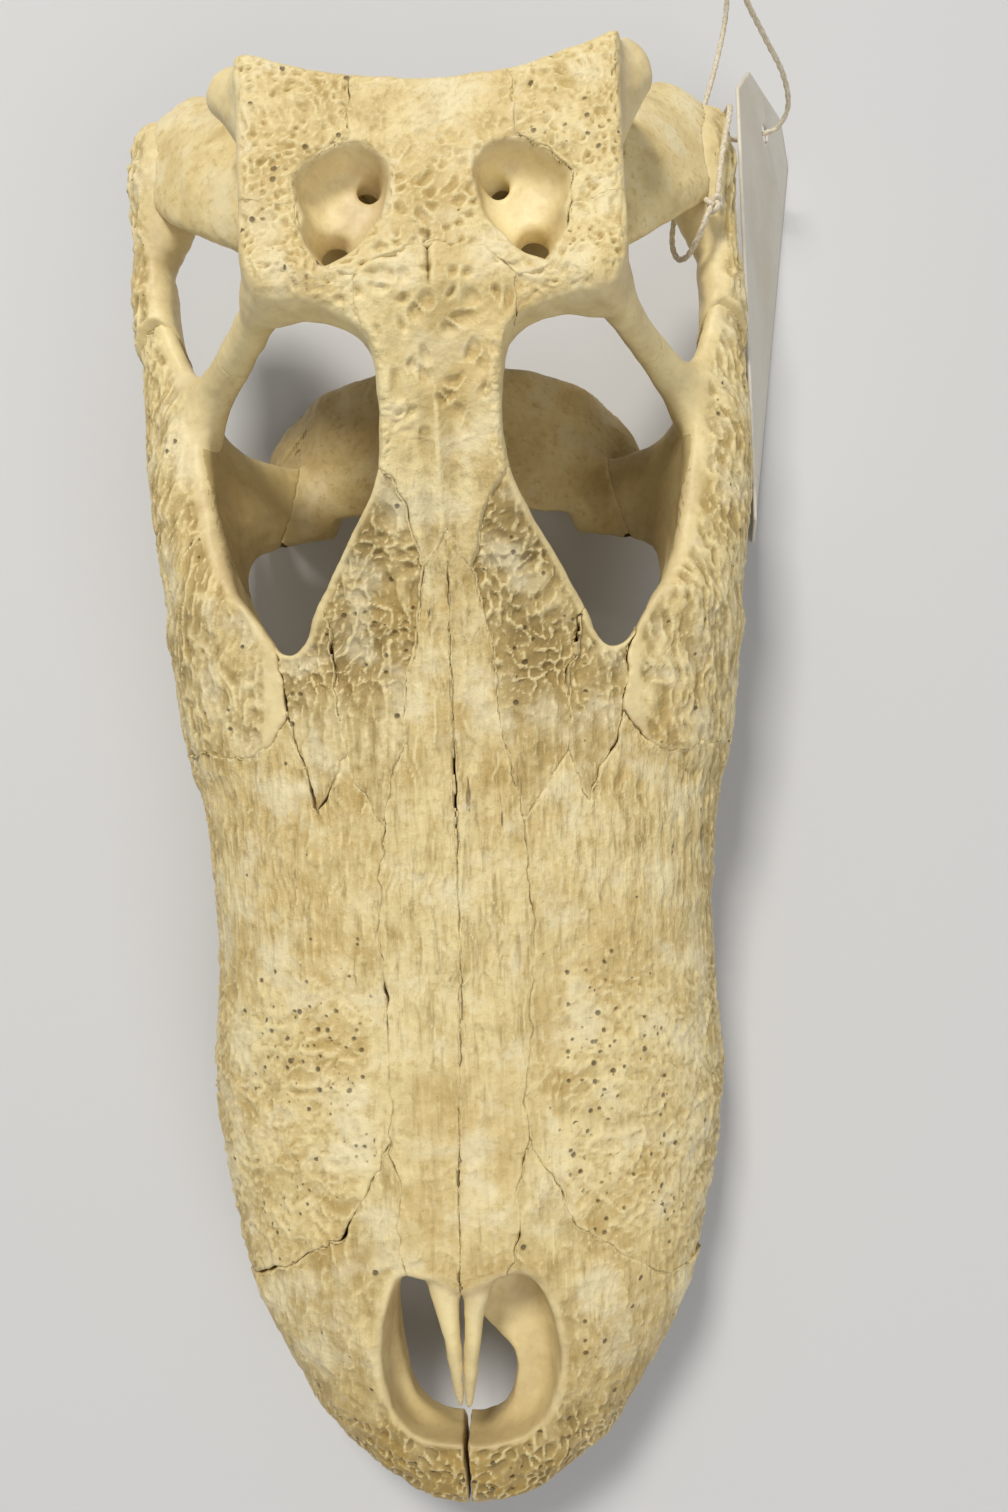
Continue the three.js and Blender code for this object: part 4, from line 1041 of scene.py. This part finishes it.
def leanedIn(points):  # x lessened by two smooth steps multiplied, one along the skull and one out across it
    x, y, z = points.T
    return np.stack([x - lean["by"] * smooth(*lean["along"], y) * smooth(*lean["across"], x), y, z], 1)


hollowShade = dict(frontal=0.5, parietal=0.8)  # how far hollows are darkened, where it isn't fully


def addBone(name, node, field, box, h, style, extra=None):
    # the field sampled over the box, skinned, eased, then sunk by its sculpture on outward faces
    axes = [np.arange(low, high + h, h) for low, high in zip(box[::2], box[1::2])]
    x, y, z = axes[0][:, None, None], axes[1][None, :, None], axes[2][None, None, :]
    f = np.array(np.broadcast_to(field(x, y, z), [len(a) for a in axes]))
    points, quads = largestPart(*skin(f, [a[0] for a in axes], h))
    points = relaxed(points, quads)
    n = normalsOf(points, quads)
    mask = spread(quads, outerMask(style, points, n), 2)
    depth, streak, pores, dirtshade = (mask * value for value in sculpture(style, points))
    points = points - n * (depth + uneven(points))[:, None]
    n = normalsOf(points, quads)
    # how concave each point is: creases come out positive and get painted shade, convex edges negative and get a
    # painted highlight
    around = np.stack([spread(quads, points[:, k], 4) for k in range(3)], 1)
    bent = np.einsum("ij,ij->i", n, around - points)
    hollow = depth * hollowShade.get(style, 1.0)
    values = dict(hollow=hollow, crease=bent, outer=mask, streak=streak, pores=pores, dirtshade=dirtshade)
    if extra:
        more, moreQuads = extra
        quads = np.vstack([quads, moreQuads + len(points)])
        values = {k: np.concatenate([v, np.zeros(len(more))]) for k, v in values.items()}
        points = np.vstack([points, more])
        values["enamel"] = np.concatenate([np.zeros(len(n)), np.ones(len(more))])
    else:
        values["enamel"] = np.zeros(len(points))
    values["stain"] = stainAt(points)
    # inner bones take the smooth slot, with the material darkened as painted shade
    slot = "bone_smooth" if style in ("smooth", "deep") else "bone_sculpted"
    return addPiece(name, leanedIn(points), quads, slot, node, values, "deep" if style == "deep" else slot)


# Each bone's field: the shell inside its own outline, parted from its neighbours.
# Side is 1 on the left and -1 on the right.
def parted(solid, region):  # the solid within the region, let out by half the lap
    return softCut(solid, region + sutures["gap"] / 2, sutures["edge"])


def ownSide(side, x, y):  # plan position as if on the left, wandered
    u, v = wandered(x, y)
    return side * u, v


def common(*solids):  # what all these share
    return functools.reduce(np.maximum, solids)


def without(*regions):  # outside all of these
    return -functools.reduce(np.minimum, regions)


def midline(u, y):  # the seam between left and right, opened at the snout's tip and about the middle of the nose
    wide = 0.5 * smooth(-110, -117, y) + 0.5 * smooth(-126, -120, y) * (y < -100)
    return wide + 0.34 * np.exp(-((y - 8) / 14) ** 2) - u


def sprung(side, u, v):  # on the right the snout's side seam has sprung open
    return (0.5 if side < 0 else 0.0) * smooth(30, 42, u) * np.exp(-((v + 90) / 8) ** 2)


def premaxilla(side, x, y, z):
    u, v = ownSide(side, x, y)
    plan = loopDistance(u, v, plans["premaxilla"]) + sprung(side, u, v)
    return parted(shell(x, y, z, ["snout"]), common(plan, midline(u, y), without(cup("nasal", u, v, z))))


def maxilla(side, x, y, z):
    u, v = ownSide(side, x, y)
    plan = loopDistance(u, v, plans["maxilla"]) + sprung(side, u, v)
    cups = [cup(name, u, v, z) for name in ("nasal", "prefrontal", "lacrimal")]
    return parted(shell(x, y, z, ["snout", "roof", "cheek"]), common(plan, midline(u, y), without(*cups)))


def nasal(side, x, y, z):  # with a thorn over the nose opening
    u, v = ownSide(side, x, y)
    across = side * (x + bendAt(-100.0))
    thorn = np.maximum(strut("spike", across, y, z), 0.2 - across)
    region = np.maximum(cup("nasal", u, v, z), midline(u, y))
    return filletJoin(parted(shell(x, y, z, ["snout", "roof"]), region), thorn, 2.0)


def prefrontal(side, x, y, z):  # with a pillar down to the palate
    u, v = ownSide(side, x, y)
    region = np.maximum(cup("prefrontal", u, v, z), midline(u, y))
    pillar = np.maximum(strut("pillar", side * x, y, z), 48.5 - y)
    return filletJoin(parted(shell(x, y, z, ["snout", "roof"]), region), pillar, 4.0)


def lacrimal(side, x, y, z):
    u, v = ownSide(side, x, y)
    return parted(shell(x, y, z, ["snout", "roof", "cheek"]), cup("lacrimal", u, v, z))


def jugal(side, x, y, z):
    u, v = ownSide(side, x, y)
    region = common(loopDistance(u, v, plans["jugal"]), without(cup("lacrimal", u, v, z)), cheekPlane(v, z),
                    barPlane(u, z))
    solid = shell(x, y, z, ["cheek", "snout", "bar"])
    inner = filletJoin(solid, innerBar(side * x, y, z), 8.0)
    return np.minimum(parted(solid, region), parted(inner, np.maximum(region, -innerPlane(x, y, z))))


def frontal(x, y, z):
    u, v = wandered(x, y)
    cups = [cup(name, way * u, v, z) for name in ("nasal", "prefrontal") for way in (1, -1)]
    region = np.maximum(loopDistance(u, v, plans["frontal"]), without(*cups))
    return parted(shell(x, y, z, ["roof", "bar"]), region)


def parietal(x, y, z):
    u, v = wandered(x, y)
    return parted(roofSolid(x, y, z), loopDistance(u, v, plans["parietal"]))


def postorbital(side, x, y, z):
    u, v = ownSide(side, x, y)
    region = np.maximum(loopDistance(u, v, plans["postorbital"]), -barPlane(u, z))
    return parted(shell(x, y, z, ["roof", "bar"]), region)


def squamosal(side, x, y, z):  # with the table's hinder corner drawn out
    u, v = ownSide(side, x, y)
    prong = strut("prongLeft" if side > 0 else "prongRight", side * x, y, z)
    return parted(filletJoin(roofSolid(x, y, z), prong, 5.0), loopDistance(u, v, plans["squamosal"]))


meet = dict(
    clear=0.3, lap=0.35, roofLap=1.2, middle=0.15,
)  # millimetres kept clear of a neighbour, run into one, run up into the roof, and kept off the midline
neck = dict(
    hole=5.5, holeHeight=75, holeFront=100, ball=7.5, ballAt=(140, 62), face=136.5, hollow=0.06,
)  # the cord's passage, the ball of the neck joint, and where the braincase ends


def underRoof(x, y, z):  # below the roof's underside, or a little way up into it
    return z - roofTop(x, y) + roofThick(y) - meet["roofLap"]


def cordHole(x, y, z):  # outside a round passage for the spinal cord, open at the back
    return neck["hole"] - np.hypot(x, z - neck["holeHeight"]) - np.maximum(neck["holeFront"] - y, 0)


def braincase(x, y, z):
    solid = filletJoin(strut("braincase", x, y, z), strut("occiput", x, y, z), 4.0)
    end = y - neck["face"] - neck["hollow"] * np.abs(x)
    solid = softCut(np.maximum(solid, underRoof(x, y, z)), end, 3.0)
    return np.maximum(softCut(solid, cordHole(x, y, z), 1.5), -meet["lap"] - baseBone(x, y, z))


def baseBone(x, y, z):  # the basioccipital, with the ball of the neck joint
    ballY, ballZ = neck["ballAt"]
    ball = np.sqrt(x ** 2 + (y - ballY) ** 2 + (z - ballZ) ** 2) - neck["ball"]
    return softCut(filletJoin(strut("basioccipital", x, y, z), ball, 3.0), cordHole(x, y, z), 1.0)


def cheekBack(x, y, z):  # the cheek run into the quadratojugal behind it
    return filletJoin(strut("quadratojugal", np.abs(x), y, z), cheekSolid(x, y, z), 4.0)


def quadratojugal(side, x, y, z):
    u, v = ownSide(side, x, y)
    return parted(cheekBack(x, y, z), -cheekPlane(v, z))


def quadrate(side, x, y, z):
    near = without(cheekBack(x, y, z), strut("braincase", x, y, z), strut("occiput", x, y, z))
    return common(strut("quadrate", side * x, y, z), near - meet["lap"], underRoof(x, y, z))


def innerBar(x, y, z):  # the ectopterygoid's arch from the cheek down to the wing's tip
    return filletJoin(strut("ectopterygoid", x, y, z), strut("wingTip", x, y, z), 5.0)


def innerPlane(x, y, z):  # where the ectopterygoid meets the jugal's inner wall
    return np.abs(x) - rimX(y) - 1.5 - 0.25 * np.maximum(52 - z, 0)


def wingPlane(x, y, z):  # where the ectopterygoid laps onto the pterygoid's wing
    return (np.abs(x) - 40.5) * 0.8 + (z - 28) * 0.6 + 0.25 * (y - 84)


def pterygoid(side, x, y, z):
    tip = strut("wingTip", side * x, y, z)
    solid = filletJoin(strut("wing", side * x, y, z), innerBar(side * x, y, z), 5.0)
    solid = np.maximum(solid, np.maximum(wingPlane(x, y, z), 0.5 - tip) + sutures["gap"] / 2)
    solid = filletJoin(solid, strut("stalk", x, y, z), 5.0)
    solid = common(solid, meet["middle"] - side * x, meet["clear"] - baseBone(x, y, z))
    return softCut(solid, 0.1 - z, 1.0)


def ectopterygoid(side, x, y, z):
    tip = strut("wingTip", side * x, y, z)
    solid = filletJoin(innerBar(side * x, y, z), cheekSolid(x, y, z), 8.0)
    solid = filletJoin(solid, strut("wing", side * x, y, z), 5.0)
    return parted(solid, np.maximum(innerPlane(x, y, z), np.minimum(-wingPlane(x, y, z), tip - 0.5)))


def palatine(side, x, y, z):
    wing = strut("wing", side * x, y, z)
    solid = np.maximum(strut("palatine", side * x, y, z), 47.35 - y)
    return common(solid, meet["middle"] - side * x, meet["clear"] - wing)


teethRows = dict(
    premaxilla=dict(count=5, front=-133.0, back=-107.0, radius=1.9, length=6.5, bumps=[(3, 0.8, 1)]),
    maxilla=dict(count=14, front=-87.0, back=22.0, radius=1.7, length=5.0, bumps=[(3.4, 1.6, 1.4), (8.5, 0.7, 2)]),
)  # teeth swell about each bump (tooth number, amount, spread)
tooth = dict(
    inset=5.6, tip=0.5, root=9.0, neck=0.9, taper=1.5, longer=4.2, wider=0.7, archY=-95.0, closed=0.05,
    sides=14, rings=12,
)  # inset from the margin, and how much longer and wider a tooth is for each unit of swelling


def toothRow(kind, side):
    # a round section carried down from the socket, wide at the gum line and drawn in to a small blunt tip:
    # tip + (width - tip)(1 - share^taper), share being the way down the crown
    row = teethRows[kind]
    points, quads = [], []
    down = np.linspace(0, 1, tooth["rings"])
    angle = np.linspace(0, 2 * np.pi, tooth["sides"], endpoint=False)
    faces = gridQuads(len(down), len(angle), False, True)
    for k in range(row["count"]):
        y = row["front"] + (row["back"] - row["front"]) * k / (row["count"] - 1)
        swell = sum(much * math.exp(-((k - at) / wide) ** 2) for at, much, wide in row["bumps"])
        rim = np.array([halfWidth(np.array(y)).item(), y])
        toward = np.array([0.0, max(y, tooth["archY"])]) - rim
        x, y = rim + toward / np.linalg.norm(toward) * tooth["inset"]
        base = float(socket(np.array(y)))
        low = max(base - row["length"] - tooth["longer"] * swell, 0.0)
        radius = row["radius"] + tooth["wider"] * swell
        z = base + tooth["root"] + (low - base - tooth["root"]) * down
        share = np.clip((base - z) / max(base - low, 1.0), 0, 1)
        r = tooth["tip"] + (radius - tooth["tip"]) * (1 - share ** tooth["taper"])
        r *= np.where(z > base, tooth["neck"], 1)
        r[[0, -1]] = tooth["closed"]
        z[-1] = z[-2]
        ring = np.stack([side * (x + r[:, None] * np.cos(angle)), y + r[:, None] * np.sin(angle),
                         np.repeat(z[:, None], len(angle), 1)], -1)
        quads.append((faces if side < 0 else faces[:, ::-1]) + sum(map(len, points)))
        points.append(ring.reshape(-1, 3))
    return np.vstack(points), np.vstack(quads)


paired = [  # name, field, box on the left side, lattice step, sculpture
    ("premaxilla", premaxilla, (-4, 60, -143, -60, 8, 53), 0.5, "premaxilla"),
    ("maxilla", maxilla, (-4, 74, -97, 51, 7, 74), 0.6, "maxilla"),
    ("nasal", nasal, (-4, 20, -119, 60, 30, 84), 0.45, "nasal"),
    ("prefrontal", prefrontal, (1, 36, -4, 73, 36, 90), 0.45, "prefrontal"),
    ("lacrimal", lacrimal, (18, 44, 0, 53, 40, 74), 0.45, "prefrontal"),
    ("jugal", jugal, (28, 74, 10, 132, 24, 80), 0.55, "jugal"),
    ("postorbital", postorbital, (10, 52, 80, 117, 64, 107), 0.42, "table"),
    ("squamosal", squamosal, (11, 52, 104, 155, 80, 108), 0.42, "table"),
    ("quadrate", quadrate, (10, 78, 108, 174, 42, 92), 0.6, "smooth"),
    ("quadratojugal", quadratojugal, (52, 78, 96, 170, 38, 70), 0.55, "jugal"),
    ("palatine", palatine, (-1, 14, 45, 95, 26, 46), 0.6, "deep"),
    ("pterygoid", pterygoid, (-1, 56, 72, 128, -1, 66), 0.7, "deep"),
    ("ectopterygoid", ectopterygoid, (24, 74, 56, 104, 2, 60), 0.7, "deep"),
]
single = [
    ("frontal", frontal, (-28, 28, 46, 109, 64, 104), 0.45, "frontal"),
    ("parietal", parietal, (-29, 29, 94, 144, 80, 107), 0.42, "parietal"),
    ("braincase", braincase, (-50, 50, 78, 148, 44, 95), 0.75, "deep"),
    ("basioccipital", baseBone, (-20, 20, 116, 150, 28, 76), 0.7, "deep"),
]


def makeBones():
    for name, field, box, h, style in single:
        addBone(name + "Bone", name, field, box, h, style)
    for name, field, box, h, style in paired:
        for side, word in ((1, "left"), (-1, "right")):
            low, high = sorted((side * box[0], side * box[1]))
            grown = toothRow(name, side) if name in teethRows else None
            addBone(name + word.capitalize(), name + "_" + word, functools.partial(field, side),
                    (low, high, *box[2:]), h, style, grown)
        print(name, "skinned,", pieces[-1][1], "triangles")


makeBones()


# Floor and light
studio = dict(
    floor=(0.62, 0.62, 0.62), floorSize=3.0, floorRough=0.9, room=(0.9, 0.93, 1), roomStrength=0.28,
    keyLight=dict(place=(-0.34, 0.75, 1.33), aim=(0, 0, 0.05), size=0.35, power=17.5, colour=(1, 0.97, 0.91)),
    fillLight=dict(place=(0.45, -0.85, 0.95), aim=(0, -0.1, 0.05), size=0.8, power=5.6, colour=(1, 0.98, 0.95)),
)  # metres and watts


def addLight(name, place, aim, size, power, colour):  # a square lamp at place, turned to face aim
    data = bpy.data.lights.new(name, "AREA")
    data.energy, data.size, data.color = power, size, colour
    lamp = bpy.data.objects.new(name, data)
    ahead = np.array(aim, float) - place
    ahead /= np.linalg.norm(ahead)
    right = np.cross(ahead, (0.02, 1, 0.03))
    right /= np.linalg.norm(right)
    turn = np.eye(4)
    turn[:3, 0], turn[:3, 1], turn[:3, 2], turn[:3, 3] = right, np.cross(right, ahead), -ahead, place
    lamp.matrix_world = Matrix(turn.tolist())
    bpy.context.scene.collection.objects.link(lamp)


def makeStudio():  # a plain square floor, two lamps and an even pale room
    half = studio["floorSize"] / 2
    corners = np.array([(-half, -half, 0), (half, -half, 0), (half, half, 0), (-half, half, 0)])
    mesh = bpy.data.meshes.new("floor")
    mesh.from_pydata(corners, [], [(0, 1, 2, 3)])
    made, tree, shader, where = newMaterial("floor")
    shader.inputs["Base Color"].default_value = (*studio["floor"], 1)
    shader.inputs["Roughness"].default_value = studio["floorRough"]
    mesh.materials.append(made)
    floor = bpy.data.objects.new("floor", mesh)
    bpy.context.scene.collection.objects.link(floor)
    for name in ("keyLight", "fillLight"):
        addLight(name, **studio[name])
    world = bpy.data.worlds.new("room")
    bpy.context.scene.world = world
    world.use_nodes = True
    back = world.node_tree.nodes["Background"]
    back.inputs["Color"].default_value = (*studio["room"], 1)
    back.inputs["Strength"].default_value = studio["roomStrength"]


makeStudio()
bpy.context.scene.view_settings.view_transform = "Standard"
print("triangles in all:", sum(count for _, count in pieces), "largest:", max(pieces, key=lambda p: p[1]))
